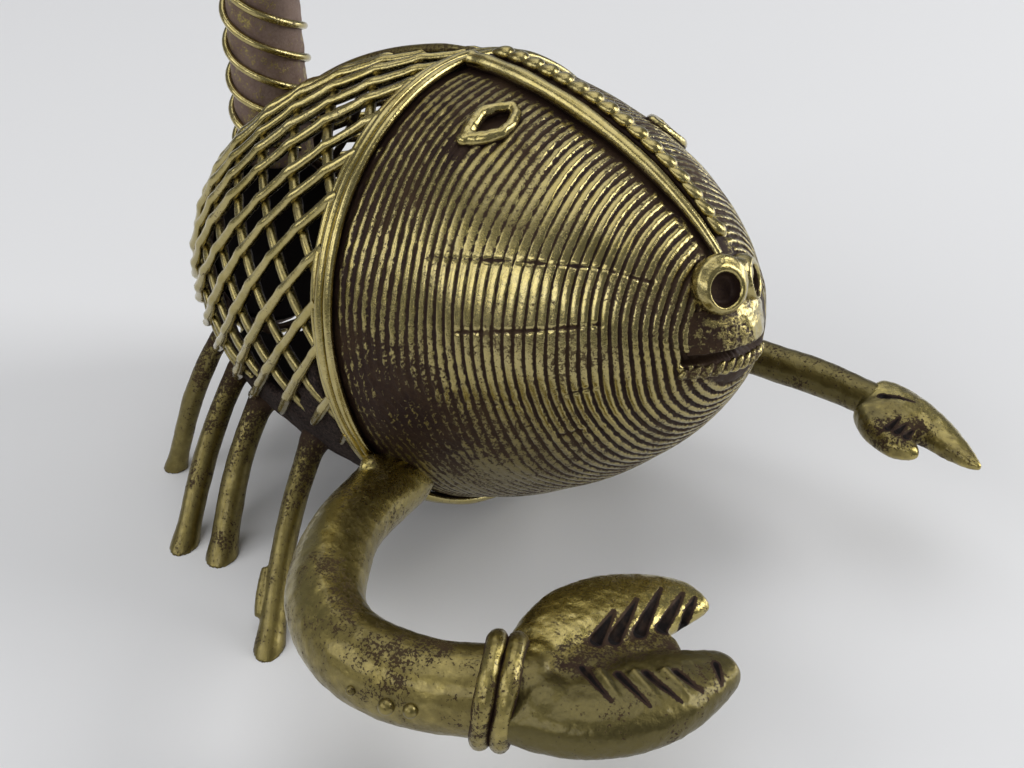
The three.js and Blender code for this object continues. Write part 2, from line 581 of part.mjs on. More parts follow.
function pincer(side, size, claw) {
  const { angle, cuffRings, route } = size;
  const station = size.along * NOSE_LENGTH;
  const [rootDiameter, wristDiameter, cuffWire] = [size.root, size.wrist, size.cuffWire].map(sized);
  const root = worldPoint(station, angle);
  const inside = worldPoint(station, angle, -rootDiameter);
  const stops = route.map((step) => root.clone().add(new THREE.Vector3(...step.map(sized))));
  const path = smooth([inside, root, ...stops], 18);
  const radius = (share) => THREE.MathUtils.lerp(rootDiameter, wristDiameter, share) / 2;
  const wrist = path.at(-1);
  const along = wrist.clone().sub(path.at(-2)).normalize();
  const turn = new THREE.Quaternion().setFromUnitVectors(new THREE.Vector3(0, 1, 0), along);
  const seatPath = [...path, wrist.clone().addScaledVector(along, SEAT_GAP)];
  const armSeat = solid(tube(seatPath, (share) => radius(share) + SEAT_GAP, ARM_SIDES));
  place(figure, `arm_${side}`, geometryOf(solid(tube(path, radius, ARM_SIDES)).subtract(limbSeat)));
  const cuffRadius = wristDiameter / 2 + SEAT_GAP + cuffWire / 2;
  const rings = Array.from({ length: cuffRings }, (_, i) => {
    const centre = wrist.clone().addScaledVector(along, (i + 0.5 - cuffRings) * (cuffWire + SEAT_GAP));
    const ring = new THREE.LatheGeometry(wireProfile(cuffRadius, 0, cuffWire), ROUND_STEPS / 2);
    return ring.applyQuaternion(turn).translate(centre.x, centre.y, centre.z);
  });
  rings.forEach((ring, i) => place(figure, `cuff_ring_${side}_${i + 1}`, ring));
  const clear = rings.reduce((sum, ring) => sum.add(solid(ring)), armSeat);
  const hand = clawSolid(claw, wrist.clone().addScaledVector(along, cuffWire));
  place(figure, `claw_${side}`, geometryOf(hand.subtract(clear)));
}
pincer('right', RIGHT_PINCER, CLAW_RIGHT);
pincer('left', LEFT_PINCER, CLAW_LEFT);

// The origin lies on the floor below the middle of the whole figure
figure.updateMatrixWorld(true);
const extent = new THREE.Box3().setFromObject(figure, true);
const middle = extent.getCenter(new THREE.Vector3());
figure.position.set(-middle.x, -middle.y, -extent.min.z);

export default figure;
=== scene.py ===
# %% [markdown]
# # A brass scorpion cast over wax threads
# The maker of the real figure lays wax threads over a lump of clay: fine ribs for the head, an open net for
# the hind body, a crest along the back, rods for legs and arms. The whole is then cast in brass at once.
# Each wax element is one piece here. It stands in the place of its plain solid, which the frame brings in.

# %% Load the frame
import math

import bpy
import numpy as np
from mathutils import Matrix, Quaternion, Vector
from mathutils.bvhtree import BVHTree


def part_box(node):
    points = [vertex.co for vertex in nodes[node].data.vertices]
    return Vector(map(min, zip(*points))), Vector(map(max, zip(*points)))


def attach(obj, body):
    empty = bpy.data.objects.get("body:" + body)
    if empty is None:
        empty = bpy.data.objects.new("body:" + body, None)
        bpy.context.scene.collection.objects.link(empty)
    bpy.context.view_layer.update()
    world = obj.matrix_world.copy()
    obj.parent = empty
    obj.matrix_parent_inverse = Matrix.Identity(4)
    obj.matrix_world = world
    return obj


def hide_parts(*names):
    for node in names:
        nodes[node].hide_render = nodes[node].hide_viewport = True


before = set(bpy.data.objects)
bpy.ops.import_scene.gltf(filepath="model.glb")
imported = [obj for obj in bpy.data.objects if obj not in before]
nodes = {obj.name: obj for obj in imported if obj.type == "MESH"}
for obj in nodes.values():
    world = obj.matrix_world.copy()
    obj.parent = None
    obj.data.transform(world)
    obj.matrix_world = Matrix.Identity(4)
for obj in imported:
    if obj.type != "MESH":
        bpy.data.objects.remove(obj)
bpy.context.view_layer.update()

MM = 0.001

# %% [markdown]
# ## The egg that everything lies on
# Head and net share one egg of revolution, carried nose-up and leaning a little to the left. A place on it is
# given the way a maker would: a station along the axis from the band, an angle from the back down the right
# flank, and a lift off the skin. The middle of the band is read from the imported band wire.

# %% Body frame
BAND_RADIUS = 25.0
NOSE_LENGTH = 36.0
REAR_LENGTH = 41.0
NOSE_FULLNESS = (1.61, 1.74)
REAR_FULLNESS = (2.22, 1.96)
NOSE_UP = math.radians(11.7)
BODY_ROLL = math.radians(9.5)
REAR_BAND_STATION = 0.54

TURN = np.array(Matrix.Rotation(-NOSE_UP, 3, "X") @ Matrix.Rotation(BODY_ROLL, 3, "Y"))
NOSE_WAY = -TURN[:, 1]
CENTRE = np.array(sum(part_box("band_wire_rear"), Vector())) / 2 - NOSE_WAY * REAR_BAND_STATION * MM


def egg_radius(station):
    """Radius of the egg, in mm, at a station."""
    station = np.asarray(station, float)
    ahead = station >= 0
    length = np.where(ahead, NOSE_LENGTH, REAR_LENGTH)
    power = np.where(ahead, NOSE_FULLNESS[0], REAR_FULLNESS[0])
    root = np.where(ahead, NOSE_FULLNESS[1], REAR_FULLNESS[1])
    share = np.clip(np.abs(station) / length, 0, 1)
    return BAND_RADIUS * (1 - share ** power) ** (1 / root)


def egg_slope(station):
    step = 0.02
    return (egg_radius(station + step) - egg_radius(station - step)) / (2 * step)


def spot(station, angle, lift=0.0):
    """Points, in metres, at stations, angles and lifts."""
    slope = egg_slope(np.asarray(station, float))
    size = np.hypot(1, slope)
    radius = egg_radius(station) + lift / size
    along = station - lift * slope / size
    turn = np.radians(angle)
    local = np.stack(np.broadcast_arrays(-radius * np.sin(turn), -along, radius * np.cos(turn)), -1)
    return CENTRE + local * MM @ TURN.T


def where(points):
    """Station, angle and lift of points in metres."""
    local = (np.asarray(points) - CENTRE) @ TURN / MM
    station = -local[..., 1]
    angle = np.degrees(np.arctan2(-local[..., 0], local[..., 2]))
    radius = np.hypot(local[..., 0], local[..., 2])
    return station, angle, (radius - egg_radius(station)) / np.hypot(1, egg_slope(station))


def unit(ways):
    """Ways, each brought to length 1."""
    return ways / np.linalg.norm(ways, axis=-1, keepdims=True)


def outward(station, angle):
    return unit(spot(station, angle, 1.0) - spot(station, angle))


def wrap(angle):
    """An angle brought between -180 and 180 degrees."""
    return (angle + 180) % 360 - 180


print("band middle at", (CENTRE / MM).round(2), "mm")

# %% [markdown]
# ## Camera
# The photograph looks down on the right flank from close by. The same view lets a pixel of the picture be
# carried back onto a piece, so that small marks can be set where they are seen.

# %% Camera
PICTURE = (1024, 768)
FOCAL_PIXELS = 1500
SENSOR_MM = 36
LOOK = Vector((0.629, 0.540, -0.559)).normalized()
RIGHT = LOOK.cross(Vector((0, 0, 1))).normalized()
UP = RIGHT.cross(LOOK)
EYE_POINT = Vector(CENTRE) + Vector((-111.2, -99.7, 86.2)) * MM

lens = bpy.data.cameras.new("Camera")
lens.sensor_width = SENSOR_MM
lens.lens = FOCAL_PIXELS / PICTURE[0] * SENSOR_MM
lens.clip_start = 0.01
camera = bpy.data.objects.new("Camera", lens)
camera.matrix_world = Matrix.Translation(EYE_POINT) @ Matrix((RIGHT, UP, -LOOK)).transposed().to_4x4()
bpy.context.scene.collection.objects.link(camera)
bpy.context.scene.camera = camera
bpy.context.scene.view_settings.view_transform = "Standard"


def skin(piece):
    """The faces of a piece, ready to be looked at."""
    mesh = piece.data
    return BVHTree.FromPolygons([v.co for v in mesh.vertices], [tuple(f.vertices) for f in mesh.polygons])


def seen(faces, x, y):
    """The point and the normal that a pixel shows, or None."""
    way = LOOK * FOCAL_PIXELS + RIGHT * (x - PICTURE[0] / 2) + UP * (PICTURE[1] / 2 - y)
    point, normal, _, _ = faces.ray_cast(EYE_POINT, way.normalized())
    return (np.array(point), np.array(normal)) if point else None


def seen_line(faces, pixels, count):
    """Points and normals along a line of pixels."""
    pixels = np.array(pixels, float)
    steps = np.linspace(0, len(pixels) - 1, count)
    xs, ys = (np.interp(steps, range(len(pixels)), pixels[:, k]) for k in range(2))
    found = [seen(faces, x, y) for x, y in zip(xs, ys)]
    return [hit for hit in found if hit]


plain_head, plain_arm = skin(nodes["head_shell"]), skin(nodes["arm_right"])
print("camera", round((EYE_POINT - Vector(CENTRE)).length / MM), "mm from the band")

# %% [markdown]
# ## Shader expressions
# A socket in a material is wrapped so that sums read as plain sums: each operator adds one Math node. Any
# other node comes from one method, which sets the node's settings first and then feeds its sockets.

# %% Socket class


class Flow:
    def __init__(self, tree, plug=None):
        self.tree = tree
        self.plug = plug

    def node(self, kind, settings, sockets, out=0):
        made = self.tree.nodes.new(kind)
        for key, value in settings.items():
            setattr(made, key, value)
        for key, value in sockets.items():
            if isinstance(value, Flow):
                self.tree.links.new(value.plug, made.inputs[key])
            else:
                made.inputs[key].default_value = value
        return Flow(self.tree, made.outputs[out])

    def math(self, operation, *values):
        return self.node("ShaderNodeMath", {"operation": operation}, dict(enumerate(values)))

    def __add__(self, other):
        return self.math("ADD", self, other)

    def __sub__(self, other):
        return self.math("SUBTRACT", self, other)

    def __rsub__(self, other):
        return self.math("SUBTRACT", other, self)

    def __mul__(self, other):
        return self.math("MULTIPLY", self, other)

    __radd__ = __add__
    __rmul__ = __mul__

    def step(self, low, high):
        """0 below low, 1 above high, smooth between."""
        settings = {"interpolation_type": "SMOOTHSTEP"}
        return self.node("ShaderNodeMapRange", settings, {0: self, 1: low, 2: high})

    def blend(self, below, above):
        """One colour where this is 0, the other where it is 1."""
        return self.node("ShaderNodeMix", {"data_type": "RGBA"}, {0: self, 6: below, 7: above}, 2)

    def noise(self, grain, detail=3.0, rough=0.55):
        """Noise with lumps of about this many millimetres, from 0 to 1."""
        sockets = {"Vector": self, "Scale": 1 / (grain * MM), "Detail": detail, "Roughness": rough}
        return self.node("ShaderNodeTexNoise", {}, sockets)


print("socket class ready")

# %% [markdown]
# ## Finishes
# All of it is one alloy, seen in four states. Where hands and cloth reach, the brass is bright, olive to gold;
# where they do not, it keeps a purple-brown patina. Each piece carries a value on its points that holds stain and
# painted shade. It is high in grooves, where the patina sits, and on undersides and in hollows, where it is painted
# shade that goes near-black at its highest. Noise of three grain sizes breaks the edge between bright and dark.
# Short occlusion darkens corners and the places where two pieces meet, a painted shade that also tips the brass to
# patina.

# %% Brass finishes
FINISH = {}
# The first colour is the near-black of painted shade, inside hollows and deep slots.
SHADE_BLACK = (0.007, 0.005, 0.005)
PATINA_GLOSS = 0.15
WAX_ROUGHNESS = 0.13
FINE, MIDDLE, BROAD = 0.30, 1.0, 5.0
SCRATCH = 0.45
# How far occlusion looks when it paints shade into corners, in mm.
OCCLUSION_SHADE_REACH = 1.3
SHADE_BLACK_FROM, SHADE_BLACK_FULL = 1.5, 1.8


def brass(slot, tones, patina, reach, shine, wax, pits, grain):
    """A finish from two brass tones and two patina tones.

    reach: the dirt and painted shade at which brass turns to patina; shine: roughness of the bright metal; wax:
    weight of the clear coat; pits: where specks start, where they are full, and how dark; grain: height of the bump
    in mm.
    """
    material = bpy.data.materials.new(slot)
    material.use_nodes = True
    tree = material.node_tree
    shader = tree.nodes["Principled BSDF"]
    shader.inputs["Specular IOR Level"].default_value = PATINA_GLOSS
    shader.inputs["Coat Roughness"].default_value = WAX_ROUGHNESS
    start = Flow(tree)
    place = start.node("ShaderNodeTexCoord", {}, {}, "Object")
    stain_and_shade = start.node("ShaderNodeAttribute", {"attribute_name": "stain_and_shade"}, {}, "Fac")
    dull_and_shade = start.node("ShaderNodeAttribute", {"attribute_name": "dull_and_shade"}, {}, "Fac")
    occlusion_shade = start.node("ShaderNodeAmbientOcclusion", {"samples": 6}, {"Distance": OCCLUSION_SHADE_REACH * MM}, "AO")
    fine = place.noise(FINE, 3.0, 0.65)
    middle = place.noise(MIDDLE, 3.0)
    broad = place.noise(BROAD, 3.0)
    uneven = (fine - 0.5) * 1.0 + (middle - 0.5) * 0.75 + (broad - 0.5) * 0.75
    # Dirt and painted shade together: the stain value, occlusion in corners, and noise.
    dirt_and_shade = stain_and_shade + (1 - occlusion_shade) * 0.55 + uneven
    dark = dirt_and_shade.step(reach[0], reach[1])
    crowd = (broad - 0.5) * 0.65 + (middle - 0.5) * 0.35
    speck = (place.noise(FINE, 3.0, 0.7) + crowd + (stain_and_shade - 0.1) * 0.4).step(pits[0], pits[1])
    cover = dark.math("MAXIMUM", dark, speck * pits[2])
    tone = (middle * 0.5 + broad * 0.5).step(0.3, 0.7).blend((*tones[0], 1), (*tones[1], 1))
    tarnish_and_shade = (dull_and_shade + (middle - 0.5) * 0.7 + (broad - 0.5) * 0.6).step(0.15, 0.95)
    tone = (tarnish_and_shade * 0.85).blend(tone, (*TARNISH, 1))
    # Above 1, the dull value paints the tone down to a dark shade colour: painted shade.
    tone = dull_and_shade.step(1.0, 2.0).blend(tone, (*PAINTED_SHADE, 1))
    brown = (fine * 0.4 + broad * 0.6).step(0.35, 0.7).blend((*patina[0], 1), (*patina[1], 1))
    wear = place.noise(SCRATCH, 4.0, 0.65)
    # Where the value runs highest the colour goes near-black: painted shade inside hollows and deep slots.
    black_shade = (stain_and_shade + (fine - 0.5) * 0.3).step(SHADE_BLACK_FROM, SHADE_BLACK_FULL)
    height = fine * 0.6 + wear * 0.8 - cover * 0.9
    bump = start.node("ShaderNodeBump", {}, {"Strength": 0.5, "Distance": grain * MM, "Height": height}, "Normal")
    feeds = {
        "Base Color": black_shade.blend(cover.blend(tone, brown), (*SHADE_BLACK, 1)),
        "Metallic": (1 - cover * 0.7) * (1 - black_shade),
        "Roughness": shine + tarnish_and_shade * 0.14 + cover * 0.25 + black_shade * 0.3 + (wear - 0.5) * 0.3,
        "Coat Weight": (1 - cover) * (1 - tarnish_and_shade * 0.6) * (1 - black_shade) * wax,
        "Normal": bump,
    }
    for name, flow in feeds.items():
        tree.links.new(flow.plug, shader.inputs[name])
    FINISH[slot] = material


OLIVE = (0.37, 0.30, 0.098)
PALE = (0.51, 0.43, 0.19)
GOLD = (0.43, 0.35, 0.11)
TARNISH = (0.145, 0.116, 0.042)
# The next dark tone is painted shade, reached where the dull value runs above 1.
PAINTED_SHADE = (0.062, 0.055, 0.022)
PURPLE = (0.024, 0.0125, 0.0105)
BROWN = (0.055, 0.032, 0.017)
LILAC = (0.26, 0.19, 0.158)
UMBER = (0.16, 0.105, 0.085)
brass("ribbed_brass", (OLIVE, PALE), (PURPLE, BROWN), (0.34, 0.62), 0.20, 0.6, (0.64, 0.70, 0.85), 0.07)
brass("wire_brass", (OLIVE, PALE), (PURPLE, BROWN), (0.45, 0.75), 0.22, 0.4, (0.66, 0.72, 0.8), 0.07)
brass("limb_brass", (GOLD, OLIVE), (PURPLE, BROWN), (0.46, 0.78), 0.27, 0.5, (0.63, 0.69, 0.9), 0.10)
brass("dark_brass", (OLIVE, GOLD), (UMBER, LILAC), (0.2, 0.5), 0.36, 0.1, (0.62, 0.70, 0.8), 0.12)
print("finishes:", sorted(FINISH))

# %% [markdown]
# ## Tools of the bench
# A few moves come back for every piece: draw wires as one curve and turn it into a mesh, carry a grid primitive
# onto a shape, fuse lumps into one casting with a voxel remesh, and read how deep each point lies between its
# neighbours. The frame leaves its nodes selected, so everything is deselected before each operator.

# %% Picking and joining


def clear():
    """Deselect everything."""
    bpy.ops.object.select_all(action="DESELECT")


def only(piece):
    """Select one piece and make it the active one."""
    clear()
    piece.select_set(True)
    bpy.context.view_layer.objects.active = piece
    return piece


def apply(piece, kind, **settings):
    """Add a modifier, set it and apply it."""
    only(piece)
    bpy.ops.object.modifier_add(type=kind)
    modifier = piece.modifiers[-1]
    for key, value in settings.items():
        setattr(modifier, key, value)
    bpy.ops.object.modifier_apply(modifier=modifier.name)


def edit(piece, operator, **settings):
    """Run one mesh operator on all of a piece."""
    only(piece)
    bpy.ops.object.mode_set(mode="EDIT")
    bpy.ops.mesh.select_all(action="SELECT")
    operator(**settings)
    bpy.ops.object.mode_set(mode="OBJECT")


def join(name, pieces):
    """Make one piece of several; it keeps the first one's data."""
    only(pieces[0])
    for piece in pieces[1:]:
        piece.select_set(True)
    if len(pieces) > 1:
        bpy.ops.object.join()
    pieces[0].name = name
    return pieces[0]


def corners(piece):
    """The points of a mesh, in metres."""
    flat = np.empty(3 * len(piece.data.vertices))
    piece.data.vertices.foreach_get("co", flat)
    return flat.reshape(-1, 3)


def move(piece, points):
    piece.data.vertices.foreach_set("co", np.ascontiguousarray(points, float).ravel())
    piece.data.update()


def mark(piece, values, name="stain_and_shade"):
    """Write each point's stain and painted shade, or how dull the brass is, which above 1 paints shade too."""
    layer = piece.data.attributes.get(name) or piece.data.attributes.new(name, "FLOAT", "POINT")
    layer.data.foreach_set("value", np.ascontiguousarray(np.broadcast_to(values, len(layer.data)), np.float32))


print("picking and joining ready")

# %% Wires, sheets and balls


def tidy(piece):
    """Close seams and poles, and turn the faces out."""
    edit(piece, bpy.ops.mesh.remove_doubles, threshold=0.002 * MM)
    edit(piece, bpy.ops.mesh.normals_make_consistent, inside=False)


def strands(name, paths, sides=10):
    """Round wires, one for each (points in metres, radii in mm, closed)."""
    clear()
    bpy.ops.curve.primitive_nurbs_path_add()
    drawn = bpy.context.object
    drawn.name = name
    drawn.data.splines.clear()
    for points, radii, closed in paths:
        line = drawn.data.splines.new("POLY")
        line.points.add(len(points) - 1)
        line.points.foreach_set("co", np.c_[points, np.ones(len(points))].ravel())
        line.points.foreach_set("radius", np.ascontiguousarray(np.broadcast_to(radii, len(points)), float))
        line.use_cyclic_u = closed
    drawn.data.bevel_depth = MM
    drawn.data.bevel_resolution = (sides - 4) // 2
    drawn.data.use_fill_caps = True
    bpy.ops.object.convert(target="MESH")
    return bpy.context.object


def wrapped(name, rows, columns, shape):
    """A grid primitive whose points are carried to shape(row, column) and closed up."""
    clear()
    bpy.ops.mesh.primitive_grid_add(x_subdivisions=columns, y_subdivisions=rows, size=2)
    piece = bpy.context.object
    piece.name = name
    flat = (corners(piece)[:, :2] + 1) / 2
    row = np.rint(flat[:, 1] * rows).astype(int)
    column = np.rint(flat[:, 0] * columns).astype(int)
    points, stain_and_shade = shape(row, column)
    move(piece, points)
    mark(piece, stain_and_shade)
    tidy(piece)
    return piece


def ball(centre, halves, turn=None):
    """A sphere squashed to its half sizes in mm."""
    clear()
    bpy.ops.mesh.primitive_uv_sphere_add(segments=24, ring_count=14, radius=1)
    piece = bpy.context.object
    sizes = np.array(halves, float) * MM
    points = corners(piece) * sizes
    move(piece, (points if turn is None else points @ np.array(turn).T) + np.array(centre))
    return piece


print("wires, sheets and balls ready")

# %% Castings and curves


def cast(name, pieces, voxel, rounding=3, grain=0.0, lump=2.0):
    """Fuse lumps into one casting: remesh, smooth the joins, and rough it a little."""
    whole = join(name, pieces)
    apply(whole, "REMESH", mode="VOXEL", voxel_size=voxel * MM)
    apply(whole, "SMOOTH", factor=0.5, iterations=rounding)
    if grain:
        rough = bpy.data.textures.new(name, "CLOUDS")
        rough.noise_scale = lump * MM
        apply(whole, "DISPLACE", texture=rough, strength=grain * MM, mid_level=0.5, texture_coords="LOCAL")
    return whole


def cut(piece, cutter):
    apply(piece, "BOOLEAN", object=cutter, operation="DIFFERENCE", solver="EXACT", use_self=True)
    bpy.data.objects.remove(cutter)


def hollows(piece, passes):
    """How far each point lies below the average of its surroundings, in mm."""
    points = corners(piece)
    flat = np.empty(2 * len(piece.data.edges), int)
    piece.data.edges.foreach_get("vertices", flat)
    one, other = flat.reshape(-1, 2).T
    ends, starts = np.r_[one, other], np.r_[other, one]
    count = np.maximum(np.bincount(starts, minlength=len(points)), 1)[:, None]
    calm = points
    for _ in range(passes):
        sums = [np.bincount(starts, calm[ends, k], len(points)) for k in range(3)]
        calm = np.stack(sums, 1) / count
    normals = np.empty(3 * len(points), np.float32)
    piece.data.vertex_normals.foreach_get("vector", normals)
    return ((calm - points) * normals.reshape(-1, 3)).sum(1) / MM


def distance_to(piece, points, girths=0.0):
    """Distance in mm from each point of a piece to the nearest of some points, or of balls round them."""
    apart = np.linalg.norm(corners(piece)[:, None] - np.asarray(points)[None], axis=2) / MM
    return (apart - girths).min(1)


def lengths(points):
    """How far along a line each of its points lies."""
    return np.r_[0, np.cumsum(np.linalg.norm(np.diff(points, axis=0), axis=1))]


def flow_line(stops, count):
    """Evenly spaced points of a smooth curve through stops."""
    stops = np.array(stops, float)
    stops = np.vstack([2 * stops[0] - stops[1], stops, 2 * stops[-1] - stops[-2]])
    knots = np.r_[0, np.cumsum(np.sqrt(np.linalg.norm(np.diff(stops, axis=0), axis=1)))]
    dense = []
    for i in range(1, len(stops) - 2):
        t = np.linspace(knots[i], knots[i + 1], 60, endpoint=i == len(stops) - 3)[:, None]
        k = knots[i - 1:i + 3]
        level = stops[i - 1:i + 3]
        for first, last in ((0, 1), (0, 2), (1, 2)):
            level = [
                (near * (k[j + last] - t) + far * (t - k[j + first])) / (k[j + last] - k[j + first])
                for j, (near, far) in enumerate(zip(level[:-1], level[1:]))
            ]
        dense.append(level[0])
    dense = np.vstack(dense)
    length = lengths(dense)
    even = np.linspace(0, length[-1], count)
    return np.stack([np.interp(even, length, dense[:, k]) for k in range(3)], 1)


def ripple(first, second, waves, seed):
    """Smooth noise of about -1 to 1 that closes round the body: first is an angle in degrees."""
    draw = np.random.default_rng(seed)
    total = 0
    for _ in range(6):
        turns = draw.integers(waves[0], waves[1])
        total = total + np.cos(np.radians(first) * turns + second * draw.uniform(*waves[2:]) + draw.uniform(0, 6.3))
    return total / 6 ** 0.5


def smooth_step(value, low, high):
    share = np.clip((np.asarray(value, float) - low) / (high - low), 0, 1)
    return share * share * (3 - 2 * share)


print("castings and curves ready")

# %% Dressing


def dress(piece, node, slot, dull_and_shade=0.2):
    """Smooth shading, finish, and its place in the frame."""
    if not piece.data.attributes.get("dull_and_shade"):
        mark(piece, dull_and_shade, "dull_and_shade")
    only(piece)
    bpy.ops.object.shade_smooth()
    piece.data.materials.clear()
    piece.data.materials.append(FINISH[slot])
    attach(piece, "root")
    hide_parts(node)
    print(f"{piece.name}: {len(piece.data.vertices)} points")


print("dressing ready")

# %% [markdown]
# ## Head
# The head is a shell of fine rings that close in on the nose. Ring upon ring could be a wire each, but on the
# real casting they are worn into one skin of flat ribs with narrow grooves, so one grid is carried round the
# egg: some of its rows climb the ribs and the last ones line the inside. The ribs stop short of the band and
# the crest, fade on the worn cheek, and are crossed by a few cuts where wax sheets met.

# %% Head sizes
RIB_COUNT = 38
RIB_DEPTH = 0.40
RIB_START = 6.0
RIB_SWAY = 0.17
# Places across one rib, from groove to groove, and their heights as shares of the depth.
RIB_SIDES = ((0.0, -1.0), (0.17, -0.16), (0.26, 0.0), (0.74, 0.0), (0.83, -0.16))
GROOVE_WIDER = 0.10
RIM_PLAIN = 1.6
RIM_EDGE = 1.5
NOSE_ROWS, RIM_ROWS, LINING_ROWS = 14, 4, 14
HEAD_COLUMNS = 420
FLANK_END = 125.0
FLANK_COLUMNS = 200
SHELL_WALL = 1.3
LINING_GAP = 0.25
CREST_RIGHT = 3.95
CREST_LEFT = 2.35
CREST_NARROWING = 0.55
CREST_FRONT = 32.05
MOUTH = {"middle": (-1.2, -1.6), "half": (6.2, 0.62), "depth": 1.05}
EYE_DEPTH = 0.7
CUT_HALF, CUT_DEPTH = 0.28, 0.27
EDGE_STAIN = 0.68
# The lining's value turns it near-black, a painted shade inside the hollow shell.
LINING_SHADE = 2.0

ruler = NOSE_LENGTH * np.sin(np.linspace(math.pi / 2, 0, 4000))
ruler_arc = lengths(np.c_[ruler, egg_radius(ruler)])
HEAD_ARC = ruler_arc[-1]
RIB_PITCH = (HEAD_ARC - RIM_PLAIN - RIB_START) / RIB_COUNT


def station_at(arc):
    return np.interp(arc, ruler_arc, ruler)


def arc_at(station):
    return np.interp(-np.asarray(station), -ruler, ruler_arc)


def crest_share(station):
    """How wide the crest still is, as a share of its width at the band."""
    return 1 + (CREST_NARROWING - 1) * np.clip(station / CREST_FRONT, 0, 1.1) ** 3


print("head skin", round(HEAD_ARC, 1), "mm from nose to rim, ribs", round(RIB_PITCH, 2), "mm apart")

# %% [markdown]
# What the years did to the head is set by where the picture shows it: cuts as lines of pixels, and patches that
# are worn, smooth, rough or polished as the pixel of their middle. Each is carried onto the plain head solid. The
# polished patch lies where the window's highlight falls and is paler there from polish and from a painted
# highlight.

# %% Marks read from the picture
CUTS = (
    ((430, 257), (520, 262), (600, 268), (655, 283)),
    ((455, 332), (530, 331), (600, 325)),
    ((425, 403), (515, 405)),
    ((560, 397), (600, 385)),
    ((560, 435), (605, 425)),
)
CUT_STRENGTH = (0.9, 1.0, 0.65, 0.75, 0.75)
# Pixel, size in mm and strength of each dirty place.
GRIME = (
    (365, 360, 5.0, 0.14), (400, 410, 6.0, 0.2), (362, 190, 3.0, 0.12), (440, 440, 6.0, 0.2),
    (610, 350, 4.0, 0.15), (455, 154, 1.7, 0.6),
)
EYE_RIM_PIXELS = (
    (464, 142), (472, 127), (482, 114), (497, 109), (514, 108), (518, 116), (511, 129), (502, 137), (485, 141),
)
PATCHES = {"worn": (500, 222), "smooth": (490, 475), "rough": (388, 402), "top": (480, 92), "shine": (530, 285)}
FAR_EYE_STATION, FAR_EYE_ANGLE = 17.5, -35.0


def flat_place(point):
    """A point of the head as (arc from the nose, angle)."""
    station, angle, _ = where(point)
    return float(arc_at(station)), float(angle)


cut_lines = [[flat_place(p) for p, _ in seen_line(plain_head, line, 14)] for line in CUTS]
eye_ring = [flat_place(p) for p, _ in seen_line(plain_head, EYE_RIM_PIXELS + EYE_RIM_PIXELS[:1], 41)][:-1]
patch_middle = {name: flat_place(seen(plain_head, *pixel)[0]) for name, pixel in PATCHES.items()}
eye_middle = np.mean(eye_ring, 0)
grime_spots = [(flat_place(seen(plain_head, x, y)[0]), size, strength) for x, y, size, strength in GRIME]
far_eye = (float(arc_at(FAR_EYE_STATION)), FAR_EYE_ANGLE)
print("worn cheek", patch_middle["worn"], "eye", eye_middle)

# %% Places on the head's skin


def head_rows():
    """Arc from the nose, height share and lining flag of each row."""
    rows = [(arc, 0.0, 0) for arc in np.linspace(0, RIB_START, NOSE_ROWS + 1)[:-1]]
    rows += [(RIB_START + (k + t) * RIB_PITCH, h, 0) for k in range(RIB_COUNT) for t, h in RIB_SIDES]
    rows += [(arc, 0.0, 0) for arc in np.linspace(HEAD_ARC - RIM_EDGE, HEAD_ARC, RIM_ROWS)]
    rows += [(arc, 0.0, 1) for arc in np.linspace(HEAD_ARC, 0, LINING_ROWS)]
    return np.array(rows)


def near_line(arc, angle, radius, line):
    """Distance in mm from points to a line on the egg."""
    best = np.full(arc.shape, 99.0)
    for (a0, t0), (a1, t1) in zip(line[:-1], line[1:]):
        across = np.radians(wrap(angle - t0)) * radius
        span = np.radians(t1 - t0) * radius
        length = (a1 - a0) ** 2 + span ** 2 + 1e-9
        share = np.clip(((arc - a0) * (a1 - a0) + across * span) / length, 0, 1)
        best = np.minimum(best, np.hypot(arc - a0 - share * (a1 - a0), across - share * span))
    return best


def in_eye(arc, angle, radius, middle, side):
    """1 inside an eye's lozenge, 0 outside."""
    ring = np.array([(a - eye_middle[0], math.radians(t - eye_middle[1]) * 22 * side) for a, t in eye_ring])
    dx, dy = arc - middle[0], np.radians(angle - middle[1]) * radius
    turn = np.arctan2(dy, dx)
    ring_turn, ring_reach = np.arctan2(ring[:, 1], ring[:, 0]), np.hypot(*ring.T)
    order = np.argsort(ring_turn)
    reach = np.interp(turn, ring_turn[order], ring_reach[order], period=2 * math.pi)
    return 1 - smooth_step(np.hypot(dx, dy) / reach, 0.75, 1.05)


def patch(arc, angle, radius, middle, size):
    """1 in the middle of a round patch, fading over its size in mm."""
    dx, dy = arc - middle[0], np.radians(wrap(angle - middle[1])) * radius
    return np.exp(-(np.hypot(dx, dy) / size) ** 2)


